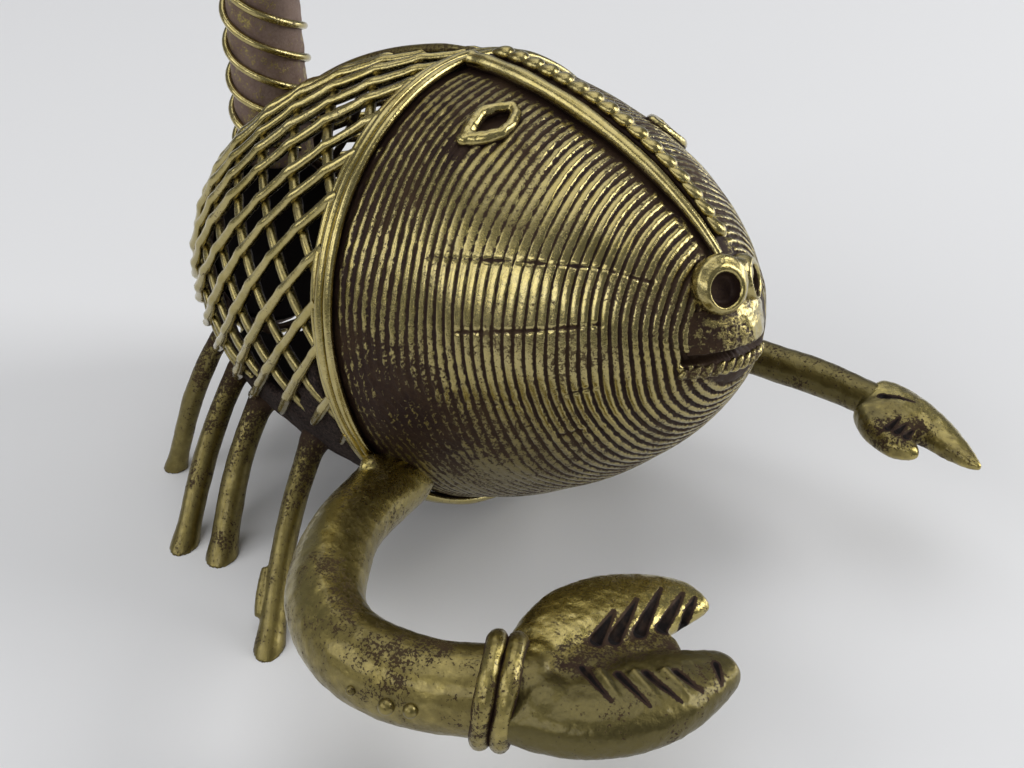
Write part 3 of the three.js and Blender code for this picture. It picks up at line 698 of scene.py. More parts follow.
def head_places(row, column):
    """Arc, angle, rib number, height share and lining flag of grid points, uneven as rolled wax is."""
    angle = wrap(np.interp(column, (0, FLANK_COLUMNS, HEAD_COLUMNS), (0.0, FLANK_END, 360.0)))
    arc, height, lining = head_rows()[row].T
    rib = (arc - RIB_START) / HEAD_ARC * RIB_COUNT
    sway = RIB_SWAY * ripple(angle, rib, (2, 11, 0.15, 0.7), 3) * smooth_step(arc, 3, 9) * (1 - lining)
    arc = np.clip(arc + sway * smooth_step(HEAD_ARC - arc, 0.5, 3), 0, HEAD_ARC)
    station = station_at(arc)
    polished = patch(arc, angle, egg_radius(station), patch_middle["shine"], 13.0)
    edge = np.array([0.0] + [math.copysign(1, 0.5 - t) for t, _ in RIB_SIDES[1:]])
    ribbed = (row >= NOSE_ROWS) & (row < NOSE_ROWS + RIB_COUNT * len(RIB_SIDES))
    widen = np.where(ribbed, edge[(row - NOSE_ROWS) % len(RIB_SIDES)], 0.0)
    widen = widen * GROOVE_WIDER * RIB_PITCH * (1 - 1.4 * polished)
    widen = widen * (1 + 0.6 * np.exp(-station / 5.0) + 0.55 * ripple(angle, rib * 1.9, (25, 95, 0.5, 3.0), 31))
    return np.clip(arc + widen, 0, HEAD_ARC), angle, rib, height, lining


print("head grid", len(head_rows()), "rows by", HEAD_COLUMNS, "columns")

# %% Relief, stain and painted shade of the head


def plain_edges(arc, angle, station, rib):
    """How bare of ribs and how dark the skin is beside crest, band and nose, and how ragged that edge."""
    aside = egg_radius(station) * np.sin(np.radians(angle)) * np.where(np.abs(angle) < 90, 1, 99)
    narrow = crest_share(station)
    ragged = 0.35 * ripple(angle, rib * 2.3, (20, 90, 0.3, 2.6), 12)
    to_crest = np.maximum(aside - CREST_RIGHT * narrow, -aside - CREST_LEFT * narrow) + ragged
    to_band = station + ragged
    bare = np.maximum(1 - smooth_step(to_crest, 0.0, 1.2), 1 - smooth_step(to_band, 2.3, 3.2))
    bare = np.maximum(bare, 1 - smooth_step(arc, RIB_START - 0.6, RIB_START + 0.6))
    strip = np.maximum(1 - smooth_step(to_crest, 0.2, 1.2), 1 - smooth_step(to_band, 2.4, 3.2))
    return bare, strip, ragged


def rib_relief(arc, angle, rib, height, lining, bare):
    """Lift and stain of the ribs, which fade where the skin is worn, smooth or rough."""
    radius = egg_radius(station_at(arc))
    sizes = {"worn": 9.0, "smooth": 10.0, "rough": 8.5, "top": 9.0}
    worn, smooth, rough, top = (patch(arc, angle, radius, patch_middle[name], sizes[name]) for name in sizes)
    depth = 1 - 0.8 * worn - 0.95 * smooth - 0.9 * rough
    depth = np.clip(depth * (1 + 0.2 * ripple(angle, rib, (5, 30, 0.4, 2.0), 9)), 0.06, 1.35)
    lift = RIB_DEPTH * height * depth * (1 - bare) - 0.16 * bare * (arc > RIB_START)
    lift = lift + 0.06 * ripple(angle, rib, (3, 22, 0.2, 1.2), 16) * (1 - lining)
    lift = lift + 0.07 * rough * ripple(angle, rib * 2.2, (40, 110, 1.0, 4.0), 18)
    dashes = ripple(angle, rib * 2.1, (50, 130, 0.5, 3.0), 5)
    grit = np.random.default_rng(8).normal(size=arc.shape)
    stain_and_shade = np.clip(-height, 0, 1) ** 0.8 * 1.05 * (1 - bare) * (1 - 0.85 * smooth)
    stain_and_shade = stain_and_shade * (1 - 0.6 * worn * smooth_step(dashes, -0.5, 0.6)) * (1 - 0.3 * top)
    return lift, stain_and_shade * (1 - 0.7 * rough) + 0.28 * rough + (0.07 + 0.12 * rough) * grit


def cuts_and_pits(lift, stain_and_shade, arc, angle, ragged):
    """Add the cuts across the ribs, the eye pockets and the mouth slit."""
    station = station_at(arc)
    radius = egg_radius(station)
    uneven = 0.75 + 0.3 * ripple(angle, arc * 1.7, (15, 70, 0.3, 2.0), 27)
    for line, strength in zip(cut_lines, CUT_STRENGTH):
        gap = near_line(arc, angle, radius, line) + 0.12 * ragged
        near = (1 - np.clip(gap / CUT_HALF, 0, 1)) * strength * uneven
        lift = lift - CUT_DEPTH * near
        stain_and_shade = np.maximum(stain_and_shade, 1.05 * near)
    for middle, side in ((eye_middle, 1), (far_eye, -1)):
        pit = in_eye(arc, angle, radius, middle, side)
        lift = lift * (1 - pit) - EYE_DEPTH * pit
        stain_and_shade = np.maximum(stain_and_shade, 1.1 * pit)
    across = np.abs(-radius * np.sin(np.radians(angle)) - MOUTH["middle"][0]) - MOUTH["half"][0]
    up = np.abs(radius * np.cos(np.radians(angle)) - MOUTH["middle"][1]) - MOUTH["half"][1]
    slit = (1 - smooth_step(across, -0.5, 0.2)) * (1 - smooth_step(up, -0.15, 0.2)) * (station > 20)
    return lift - MOUTH["depth"] * slit, np.maximum(stain_and_shade, 1.4 * slit)


def head_shape(row, column):
    """Points and stain of the whole skin, the lining included, which is painted near-black as shade inside the
    hollow.
    """
    arc, angle, rib, height, lining = head_places(row, column)
    station = station_at(arc)
    radius = egg_radius(station)
    bare, strip, ragged = plain_edges(arc, angle, station, rib)
    lift, stain_and_shade = rib_relief(arc, angle, rib, height, lining, bare)
    muzzle = 1 - smooth_step(arc, RIB_START - 0.4, RIB_START + 0.8)
    stain_and_shade = np.maximum(stain_and_shade, EDGE_STAIN * muzzle)
    # A little dirt all over, less on the polished cheek: wear, and a painted highlight where the window's light
    # falls.
    stain_and_shade = stain_and_shade + (0.22 - 0.17 * patch(arc, angle, radius, patch_middle["shine"], 15.0)) * (1 - muzzle)
    for middle, size, strength in grime_spots:
        stain_and_shade = stain_and_shade + strength * patch(arc, angle, radius, middle, size)
    stain_and_shade = np.maximum(stain_and_shade, EDGE_STAIN * strip)
    lift, stain_and_shade = cuts_and_pits(lift, stain_and_shade, arc, angle, ragged)
    lift = np.where(lining == 1, -SHELL_WALL - LINING_GAP, lift)
    return spot(station, angle, lift), np.where(lining == 1, LINING_SHADE, stain_and_shade)


print("head relief ready")

# %% Head shell
HEAD_DULL = 0.62
# Patch, how much duller, radius of the egg to measure it by (its own if None) and size. The shine patch, much
# less dull, lies where the window's highlight falls: it is partly polish and partly a painted highlight.
DULLED = (
    ("worn", 0.3, 22.0, 7.0), ("top", 0.25, 22.0, 8.0), ("shine", -0.45, None, 14.0), ("smooth", 0.4, 20.0, 9.0),
)

head = wrapped("head_ribbed", len(head_rows()) - 1, HEAD_COLUMNS, head_shape)
station, turn, _ = where(corners(head))
arc = arc_at(station)
dull_and_shade = HEAD_DULL
for name, strength, radius, size in DULLED:
    radius = radius or egg_radius(station_at(arc))
    dull_and_shade = dull_and_shade + strength * patch(arc, turn, radius, patch_middle[name], size)
mark(head, dull_and_shade, "dull_and_shade")
dress(head, "head_shell", "ribbed_brass")

# %% [markdown]
# ## Band and net
# The net is two layers of rolled threads. The outer threads all slant one way and sag over the inner ones
# between their crossings; the inner ones slant the other way and steeper. Each layer is drawn as one curve
# with many strands, a little uneven as rolled wax is, and the ends run into hoops. Two more hoops lie beside
# them on the head's rim. The side of each thread that faces the hollow is painted darker, a painted shade.

# %% Net sizes
NET_FRONT = -0.8
NET_REAR = 36.5
THREAD_START = 0.4
THREAD_DEPTH = 16.0
THREAD_POINTS = 90
THREAD_FADE, THREAD_SINK = 14, 0.8
SHORTEST_RUN = 12
# Sweep is in degrees per mm; hump and reach are the rise at a crossing and how far it spreads. A hoop is a
# station, a lift, a wire radius, a seed and, for the small ones, a number of points.
# Dark is the range of lift over which the painted shade on a thread's inner side fades out.
OVER = {
    "count": 30, "sweep": 76.6 / NET_REAR, "wire": 0.60, "lift": 0.30, "hump": 0.22, "reach": 1.2,
    "seed": 21, "sides": 10, "dark": (-0.35, 0.35), "dull_and_shade": 0.15,
    "hoops": ((NET_FRONT + 0.85, 0.45, 0.42, 31), (-NET_REAR, 0.5, 0.5, 33, 90)),
}
UNDER = {
    "count": 19, "sweep": -109.5 / NET_REAR, "wire": 0.55, "lift": -0.28, "hump": -0.12, "reach": 0.8,
    "seed": 22, "sides": 8, "dark": (-0.75, -0.1), "dull_and_shade": 0.55,
    "hoops": ((NET_FRONT, -0.6, 0.45, 34), (-NET_REAR, -0.5, 0.45, 35, 90)),
}
print("net of", OVER["count"], "threads over", UNDER["count"])

# %% Net threads


def thread_angle(layer, k, station):
    return 360.0 * k / layer["count"] + layer["sweep"] * (NET_FRONT - station)


def crossing(station, angle, other):
    """Distance in mm to the nearest thread of the other layer."""
    pitch = 360.0 / other["count"]
    off = (angle - thread_angle(other, 0, station) + pitch / 2) % pitch - pitch / 2
    return np.radians(off) * egg_radius(station)


def net_paths(layer, other):
    """Threads of one layer; where they reach the belly they grow thin and sink into it."""
    draw = np.random.default_rng(layer["seed"])
    share = np.linspace(0, 1, THREAD_POINTS)
    station = THREAD_START - (NET_REAR + THREAD_START) * np.sin(share * 1.1) / math.sin(1.1)
    paths = []
    for k in range(layer["count"]):
        sway = draw.uniform(-0.8, 0.8) + 0.7 * np.sin(share * draw.uniform(5, 11) + draw.uniform(0, 6.3))
        angle = thread_angle(layer, k, station) + sway * BAND_RADIUS / np.maximum(egg_radius(station), 9)
        radius = layer["wire"] * (1 + 0.09 * np.sin(share * draw.uniform(14, 30) + draw.uniform(0, 6.3)))
        lift = layer["lift"] + layer["hump"] * np.exp(-(crossing(station, angle, other) / layer["reach"]) ** 2)
        above = egg_radius(station) * np.cos(np.radians(angle)) > -THREAD_DEPTH + 1.6 * np.sin(5.0 * k)
        for run in np.split(np.arange(THREAD_POINTS), np.flatnonzero(np.diff(above.astype(int))) + 1):
            if above[run[0]] and len(run) > SHORTEST_RUN:
                to_end = np.full(len(run), THREAD_POINTS)
                if run[0] > 0:
                    to_end = run - run[0]
                if run[-1] < THREAD_POINTS - 1:
                    to_end = np.minimum(to_end, run[-1] - run)
                fade = smooth_step(to_end, -1, THREAD_FADE)
                sunk = spot(station[run], angle[run], lift[run] - THREAD_SINK * (1 - fade))
                paths.append((sunk, radius[run] * (0.3 + 0.7 * fade), False))
    return paths


def hoop_path(station, lift, wire, seed, count=180):
    angle = np.arange(count) * 360.0 / count
    sway = 0.10 * ripple(angle, 0, (2, 9, 0, 1), seed)
    radius = wire * (1 + 0.06 * ripple(angle, 0, (6, 30, 0, 1), seed + 50))
    return spot(station + sway, angle, lift), radius, True


def shaded_side(piece, low, high):
    """Painted shade, carried as stain, that rises towards the inner side of threads on the egg."""
    _, _, lift = where(corners(piece))
    mark(piece, 0.95 * (1 - smooth_step(lift, low, high)))


for node, layer, other in (("net_over", OVER, UNDER), ("net_under", UNDER, OVER)):
    paths = net_paths(layer, other) + [hoop_path(*hoop) for hoop in layer["hoops"]]
    net = strands(f"{node}_threads", paths, layer["sides"])
    shaded_side(net, *layer["dark"])
    dress(net, node, "wire_brass", layer["dull_and_shade"])

# %% Band hoops
# Node, station, wire radius and seed of each hoop.
BAND_HOOPS = (("band_wire_rear", 0.98, 0.54, 41), ("band_wire_front", 2.0, 0.5, 42))
BAND_LIFT = 0.62
for node, station, wire, seed in BAND_HOOPS:
    hoop = strands(node.replace("wire", "hoop"), [hoop_path(station, BAND_LIFT, wire, seed)], 14)
    shaded_side(hoop, 0.05, 0.55)
    dress(hoop, node, "wire_brass", 0.0)

# %% [markdown]
# ## Belly and rear cap
# Below the net the hind body is closed by a thick dark dish that carries the legs, with a rough edge where
# metal ran between the threads. It starts as a sheet on the egg, gets its wall from Solidify and is fused by
# a remesh, which also rounds its edge. The small cap that gathers the thread ends is made the same way, with
# one thread coiled over it.

# %% Belly dish
BELLY_DEPTH = 10.1
BELLY_FRONT, BELLY_LENGTH = -1.8, 33.4
BELLY_WALL = 1.7
BELLY_ROWS, BELLY_COLUMNS = 40, 60
FILM_HEIGHT, FILM_CLIMB = 2.4, 5.5
BELLY_SHADE = 1.74


def belly_sheet(row, column):
    share = row / BELLY_ROWS
    station = BELLY_FRONT - BELLY_LENGTH * share
    radius = egg_radius(station)
    film = FILM_HEIGHT * np.clip(np.sin(share * 23) + np.sin(share * 51 + 1) - 0.3, 0, 1.4)
    climb = np.array([FILM_CLIMB, 0.0])[:, None] * np.exp(-(share / 0.10) ** 2)
    right, left = np.degrees(np.arccos(np.clip(-(BELLY_DEPTH - film - climb) / radius, -1, 1)))
    angle = right + (360 - right - left) * column / BELLY_COLUMNS
    return spot(station, angle, -BELLY_WALL / 2), 0.0


belly = wrapped("belly_dish", BELLY_ROWS, BELLY_COLUMNS, belly_sheet)
apply(belly, "SOLIDIFY", thickness=BELLY_WALL * MM, offset=0)
belly = cast("belly_dish", [belly], voxel=0.40, rounding=3, grain=0.5, lump=2.4)
# The whole dish is painted near-black, darkest on its inner side: painted shade under the body and inside the
# hollow.
below = where(corners(belly))[2]
inner_side = 1 - smooth_step(below, -1.3, -0.6)
mark(belly, BELLY_SHADE + 0.1 * smooth_step(hollows(belly, 12), 0.0, 0.15) + 0.4 * inner_side)
dress(belly, "belly_plate", "dark_brass", 0.9)

# %% Rear cap
CAP_DEPTH, CAP_WALL = 4.0, 2.2
CAP_ROWS, CAP_COLUMNS = 16, 48
COIL_TURNS, COIL_WIRE = 8, 0.52


def cap_sheet(row, column):
    station = -REAR_LENGTH + CAP_DEPTH * (row / CAP_ROWS) ** 2
    return spot(station, 360.0 * column / CAP_COLUMNS, -0.2), 0.0


cap = wrapped("rear_dome", CAP_ROWS, CAP_COLUMNS, cap_sheet)
apply(cap, "SOLIDIFY", thickness=CAP_WALL * MM, offset=0)
share = np.linspace(0.06, 1, 420)
coil_line = spot(CAP_DEPTH * share ** 2 - REAR_LENGTH, 360 * COIL_TURNS * share, 0.85 - 0.25 * share)
coil = strands("coil", [(coil_line, COIL_WIRE, False)], 8)
cap = cast("rear_dome", [cap, coil], voxel=0.22, rounding=1, grain=0.12, lump=2.0)
# Darker below the tops of the coil, and near-black on the inner side, a painted shade inside the hollow.
depth = where(corners(cap))[2]
mark(cap, 0.85 * (1 - smooth_step(depth, 0.75, 1.25)) + 1.3 * (1 - smooth_step(depth, -0.9, -0.1)))
dress(cap, "rear_cap", "dark_brass", 0.5)

# %% [markdown]
# ## Crest
# Along the middle of the back lie a broad wire, a finer one, a rope of leaf-shaped beads and a thin wire. They
# draw together towards the nose. The wires are drawn curves; one bead is pulled from a sphere to a leaf,
# then copied along its line, each copy turned a little across it.

# %% Crest strands
# Node, offset from the middle, radius and front end of each wire.
CREST_WIRES = (
    ("crest_wire_right", 3.0, 0.95, 33.0),
    ("crest_wire_middle", 1.55, 0.45, 32.6),
    ("crest_wire_left", -2.0, 0.48, 32.0),
)
CREST_BACK = 2.7


def crest_line(aside, radius, count=80, front=CREST_FRONT):
    """Station, angle, lift and narrowing along one strand, from the nose to the band."""
    station = front - (front - CREST_BACK) * np.sin(np.linspace(0, math.pi / 2, count))
    narrow = crest_share(station)
    lift = radius * narrow * 0.8
    angle = np.degrees(np.arcsin(aside * narrow / (egg_radius(station) + lift)))
    return station, angle, lift, narrow


for node, aside, radius, front in CREST_WIRES:
    station, angle, lift, narrow = crest_line(aside, radius, front=front)
    wobble = 1 + 0.05 * np.sin(np.linspace(0, 31, len(station)) + aside)
    path = (spot(station, angle, lift), radius * narrow * wobble, False)
    wire = strands(node.replace("wire", "strand"), [path], 14)
    shaded_side(wire, 0.0, radius * 0.8)
    dress(wire, node, "wire_brass")

# %% Leaf beads


def leaf():
    """One bead: a sphere drawn to a point at one end, a unit long."""
    clear()
    bpy.ops.mesh.primitive_uv_sphere_add(segments=12, ring_count=10, radius=1, rotation=(0, math.pi / 2, 0))
    bpy.ops.object.transform_apply(rotation=True)
    bead = bpy.context.object
    points = corners(bead)
    pinch = 1 - 0.38 * points[:, :1] - 0.1 * points[:, :1] ** 2
    move(bead, points * np.c_[np.ones(len(points)), pinch, pinch])
    return bead


def beads(name, places):
    """Copies of the leaf at (point, way along, way out, half sizes in mm), fused in one piece."""
    pattern = leaf()
    copies = []
    for point, along, out, halves in places:
        only(pattern)
        bpy.ops.object.duplicate()
        copy = bpy.context.object
        along = Vector(along).normalized()
        across = Vector(out).cross(along).normalized()
        turn = Matrix((along, across, along.cross(across))).transposed()
        move(copy, (corners(copy) * np.array(halves) * MM) @ np.array(turn).T + np.array(point))
        copies.append(copy)
    bpy.data.objects.remove(pattern)
    return join(name, copies)


def turned(along, out, degrees):
    """A way along the skin, turned about the way out of it."""
    return Quaternion(Vector(out), math.radians(degrees)) @ Vector(along)


print("leaf beads ready")

# %% Crest rope
ROPE_ASIDE, ROPE_LIFT, ROPE_PITCH = 0.0, 1.25, 2.15
LEAF_HALVES = (1.3, 1.1, 0.8)
LEAF_TURN = 26
LEAF_LEAST = 0.7
station, angle, _, narrow = crest_line(ROPE_ASIDE, LEAF_HALVES[2], 400)
rope_points = spot(station, angle, ROPE_LIFT * narrow)
rope_length = lengths(rope_points) / MM
rope_places = []
for distance in np.arange(0.8, rope_length[-1] - 0.6, ROPE_PITCH):
    i = int(np.searchsorted(rope_length, distance))
    along = rope_points[min(i + 2, 399)] - rope_points[i - 2]
    out = outward(station[i], angle[i])
    size = max(narrow[i], LEAF_LEAST)
    halves = np.array(LEAF_HALVES) * (1, size, size)
    rope_places.append((rope_points[i], turned(along, out, LEAF_TURN), out, halves))
rope = beads("crest_beads", rope_places)
bed = strands("rope_bed", [(spot(station, angle, 0.2)[::6], 0.7 * narrow[::6], False)], 8)
rope = join("crest_beads", [rope, bed])
# Darker low down towards the skin, a painted shade under and between the beads.
station, _, lift = where(corners(rope))
mark(rope, 0.95 * (1 - smooth_step(lift / crest_share(station), 0.8, 1.5)))
dress(rope, "crest_rope", "wire_brass", 0.4)

# %% Back ridge
RIDGE_STATIONS = (0.4, -25.5)
RIDGE_LIFT = 0.95
station = np.linspace(*RIDGE_STATIONS, 60)
slim = 0.25 + 0.3 * smooth_step(-station, 0.0, 5.0)
ridge = strands("back_ridge_wire", [(spot(station, 0.0, RIDGE_LIFT), slim, False)], 10)
mark(ridge, 0.42)
dress(ridge, "back_ridge", "wire_brass", 0.7)

# %% [markdown]
# ## Eyes, nostrils and mouth
# The eyes are lozenges of wire pressed onto the ribs, the nostrils short pipes with a swollen rim, and the
# mouth a slit with a worn pad above it and a notched bar below. The near eye follows the picture; the far one
# is its mirror image. A pipe is spun from its section, as it would be on a wheel.

# %% Eye rims
EYE_WIRE, EYE_SWELL = 0.72, 0.12
EYE_FOLD = (1.0, 0.9, 0.75)
for node, middle, side in (("eye_rim_right", eye_middle, 1), ("eye_rim_left", far_eye, -1)):
    ring = (np.array(eye_ring) - eye_middle) * 0.95
    arcs = middle[0] + ring[:, 0]
    girths = [egg_radius(station_at(at[0])) for at in (eye_middle, middle)]
    angles = middle[1] + side * ring[:, 1] * girths[0] / girths[1]
    swell = EYE_WIRE + EYE_SWELL * np.cos(np.linspace(0, 2 * math.pi, len(arcs), endpoint=False))
    parts = [strands("ring", [(spot(station_at(arcs), angles, 0.08), swell, True)], 14)]
    fold = int(np.argmax(np.hypot(ring[:, 0], ring[:, 1] * 0.38)))
    parts.append(ball(spot(station_at(arcs[fold]), angles[fold], 0.15), EYE_FOLD))
    rim = cast(node.replace("rim", "lozenge"), parts, voxel=0.13, rounding=2, grain=0.14, lump=0.8)
    shaded_side(rim, -0.1, 0.5)
    dress(rim, node, "wire_brass")

# %% Nostrils
# Node, side, station, angle, outer radius, bore, height and splay of each pipe.
NOSTRILS = (
    ("nostril_right", 1, 34.06, 30.0, 3.05, 1.60, 2.2, 0.42),
    ("nostril_left", -1, 34.5, 20.0, 2.5, 1.5, 1.0, 0.42),
)
BRIDGE_HALVES = (3.0, 1.9, 1.5)
BORE_DROP = 0.45


def about(points, seat, way):
    """How far points lie along an axis and away from it, in mm."""
    level = (points - seat) @ np.array(way) / MM
    return level, np.linalg.norm(points - seat - np.outer(level * MM, np.array(way)), axis=1) / MM


seats = {side: spot(station, side * angle) for _, side, station, angle, *_ in NOSTRILS}
for node, side, _, _, outer, bore, height, splay in NOSTRILS:
    seat = seats[side]
    way = Vector(TURN @ np.array((-side * splay, -1.0, splay / 2))).normalized()
    across = way.orthogonal().normalized()
    section = [
        (0.0, height - 1.3), (bore - 0.3, height - 1.25), (bore, height - 0.8), (bore + 0.05, height - 0.25),
        (bore + 0.25, height), (bore + 0.6, height - 0.06), (outer - 0.15, height - 0.7),
        (outer, height - 1.4), (outer - 0.25, height - 2.4), (outer - 0.9, -1.6), (0.0, -1.6),
    ]
    clear()
    bpy.ops.mesh.primitive_circle_add(vertices=len(section), radius=MM)
    pipe = bpy.context.object
    move(pipe, [np.array(Vector(seat) + across * r * MM + way * h * MM) for r, h in section])
    edit(pipe, bpy.ops.mesh.spin, steps=48, angle=2 * math.pi, center=seat, axis=way)
    tidy(pipe)
    level, reach = about(corners(pipe), seat, way)
    down = -UP + way * UP.dot(way)
    drop = (1 - smooth_step(reach, bore + 0.1, outer)) * (level > -1) * BORE_DROP * MM
    move(pipe, corners(pipe) + np.outer(drop, np.array(down)))
    parts = [pipe]
    if side == 1:
        across = unit(seats[-1] - seats[1])
        turn = np.stack([across, np.cross(NOSE_WAY, across), NOSE_WAY], 1)
        parts.append(ball((seats[1] + seats[-1]) / 2 + TURN[:, 2] * 0.5 * MM, BRIDGE_HALVES, turn))
    pipe = cast(node.replace("nostril", "nose_pipe"), parts, voxel=0.14, rounding=2, grain=0.12, lump=1.2)
    level, reach = about(corners(pipe), seat + np.array(down) * BORE_DROP * MM, way)
    inside = (1 - smooth_step(reach, bore + 0.05, bore + 0.3)) * (level < height - 0.22)
    mark(pipe, np.maximum(1.1 * inside, 0.55 * (1 - smooth_step(level, -0.8, 0.4))))
    dress(pipe, node, "wire_brass", 0.3)

# %% Upper lip
MUZZLE_ROWS, MUZZLE_COLUMNS = 24, 48
# Offsets from the axis in mm, and how far the pad stands out.
MUZZLE = {"across": (-6.9, 4.2), "up": (-1.0, 3.3), "proud": 0.8}


def mouth_spot(x, level):
    """Station and angle of a place on the nose, from its offsets across and up."""
    reach = np.hypot(x, level)
    power, root = NOSE_FULLNESS
    station = NOSE_LENGTH * (1 - (reach / BAND_RADIUS) ** root) ** (1 / power)
    return station, np.degrees(np.arctan2(-x, level))


def muzzle_sheet(row, column):
    across, up = 2 * column / MUZZLE_COLUMNS - 1, row / MUZZLE_ROWS
    x = np.interp(across, (-1, 1), MUZZLE["across"])
    level = np.interp(up, (0, 1), MUZZLE["up"]) + 0.25 * across
    lift = MUZZLE["proud"] * (1 - np.abs(across) ** 3) * (1 - 0.7 * up) - 0.55
    return spot(*mouth_spot(x, level), lift), 0.0


pad = wrapped("upper_lip_pad", MUZZLE_ROWS, MUZZLE_COLUMNS, muzzle_sheet)
apply(pad, "SOLIDIFY", thickness=0.9 * MM, offset=0)
pad = cast("upper_lip_pad", [pad], voxel=0.15, rounding=2, grain=0.22, lump=0.9)
flank = wrap(where(corners(pad))[1])
mark(pad, 0.15 + 0.42 * smooth_step(flank, 10, 60) + 0.6 * smooth_step(hollows(pad, 10), 0.0, 0.06))
dress(pad, "upper_lip", "ribbed_brass", 0.35)

# %% Lower lip
LOWER_LIP = {"level": -3.05, "half": 5.9, "beads": 11, "bead": np.array((1.1, 0.5, 0.62)), "turn": 48}
x = np.linspace(-LOWER_LIP["half"], LOWER_LIP["half"], LOWER_LIP["beads"]) + MOUTH["middle"][0]
lip_places = []
for at in x:
    station, angle = mouth_spot(at, LOWER_LIP["level"])
    near = [spot(*mouth_spot(at + step, LOWER_LIP["level"]), 0.0) for step in (-0.2, 0.2)]
    out = outward(station, angle)
    taper = math.sqrt(1 - ((at - MOUTH["middle"][0]) / (LOWER_LIP["half"] + 1.6)) ** 2)
    along = turned(near[1] - near[0], out, LOWER_LIP["turn"])
    lip_places.append((spot(station, angle, 0.05), along, out, LOWER_LIP["bead"] * taper))
lip_line = spot(*mouth_spot(np.linspace(x[0], x[-1], 30), LOWER_LIP["level"] - 0.25), -0.35)
bar = strands("bar", [(lip_line, 0.8 * np.sin(np.linspace(0.5, 2.64, 30)) ** 0.5, False)], 12)
lower = cast("lower_lip_bar", [beads("lip_beads", lip_places), bar], voxel=0.14, rounding=1)
mark(lower, 0.5 + 0.9 * smooth_step(hollows(lower, 10), 0.0, 0.06))
dress(lower, "lower_lip", "wire_brass", 0.4)

# %% [markdown]
# ## Limbs
# Legs and arms are thick wax rods. A rod is a drawn curve with its own radius at each point, fused with the
# lumps and webs of metal that the casting left on it, and roughened a little. Feet are cut flat on the floor.

# %% Leg lines
# Thickness, place along the hind body, angle, and foot, as shares of the band's radius and the hind length.
LEGS = (
    (0.108, 0.268, 133.0, (1.476, -0.032)),
    (0.12, 0.549, 133.0, (1.212, 0.6)),
    (0.108, 0.683, 130.0, (1.272, 0.8)),
    (0.096, 0.768, 122.0, (0.912, 1.312)),
)
LEG_BOW = 0.02
FOOT_SPREAD = 1.25
KNEE_SHARE = 0.45
BELOW_FLOOR = 2.5
FLOOR_MIDDLE = np.array((CENTRE[0], CENTRE[1], 0.0))


def leg_line(size, side):
    thickness, along, angle, foot = size
    root = spot(-along * REAR_LENGTH, side * angle, 0.4)
    inside = spot(-along * REAR_LENGTH, side * angle, -0.8)
    sole = FLOOR_MIDDLE + np.array((-side * foot[0], foot[1], 0)) * BAND_RADIUS * MM
    knee = root + (sole - root) * KNEE_SHARE + np.array((-side, 1, 1)) * LEG_BOW * BAND_RADIUS * MM
    beyond = sole + unit(sole - knee) * BELOW_FLOOR * MM
    return flow_line([inside, root, knee, sole, beyond], 40), thickness * BAND_RADIUS / 2


print("legs start at", [round(leg_line(size, 1)[0][0][2] / MM, 1) for size in LEGS], "mm above the floor")

# %% Legs
FIN_SPAN, FIN_ASIDE = slice(23, 32), 1.6
LEG_STAIN, LEG_DULL = 0.2, 0.85
FLOOR_PLANE = {"plane_co": (0, 0, 0.00002), "plane_no": (0, 0, 1)}
for number, size in enumerate(LEGS, 1):
    for side, word in ((1, "right"), (-1, "left")):
        line, radius = leg_line(size, side)
        share = np.linspace(0, 1, len(line))
        near_floor = np.clip(1 - line[:, 2] / (3.0 * MM), 0, 1) ** 2
        girth = radius * (1.06 + 0.03 * np.sin(share * 9 + number) + (FOOT_SPREAD - 1) * near_floor)
        girth = girth * (1 + 0.35 * np.exp(-(share / 0.06) ** 2))
        rod = strands("rod", [(line, girth, False)], 16)
        parts = [rod]
        if side == 1 and number == 1:
            fin = line[FIN_SPAN] - np.array(RIGHT) * FIN_ASIDE * MM
            parts.append(strands("fin", [(fin, 0.55 + 0.25 * np.sin(np.linspace(0, 3, 9)), False)], 8))
        rod = cast(f"leg_rod_{word}_{number}", parts, voxel=0.24, rounding=3, grain=0.14, lump=3.0)
        edit(rod, bpy.ops.mesh.bisect, use_fill=True, clear_inner=True, **FLOOR_PLANE)
        mark(rod, LEG_STAIN + 0.5 * smooth_step(corners(rod)[:, 2], 0.6 * line[0][2], line[0][2]))
        dress(rod, f"leg_{word}_{number}", "limb_brass", LEG_DULL)

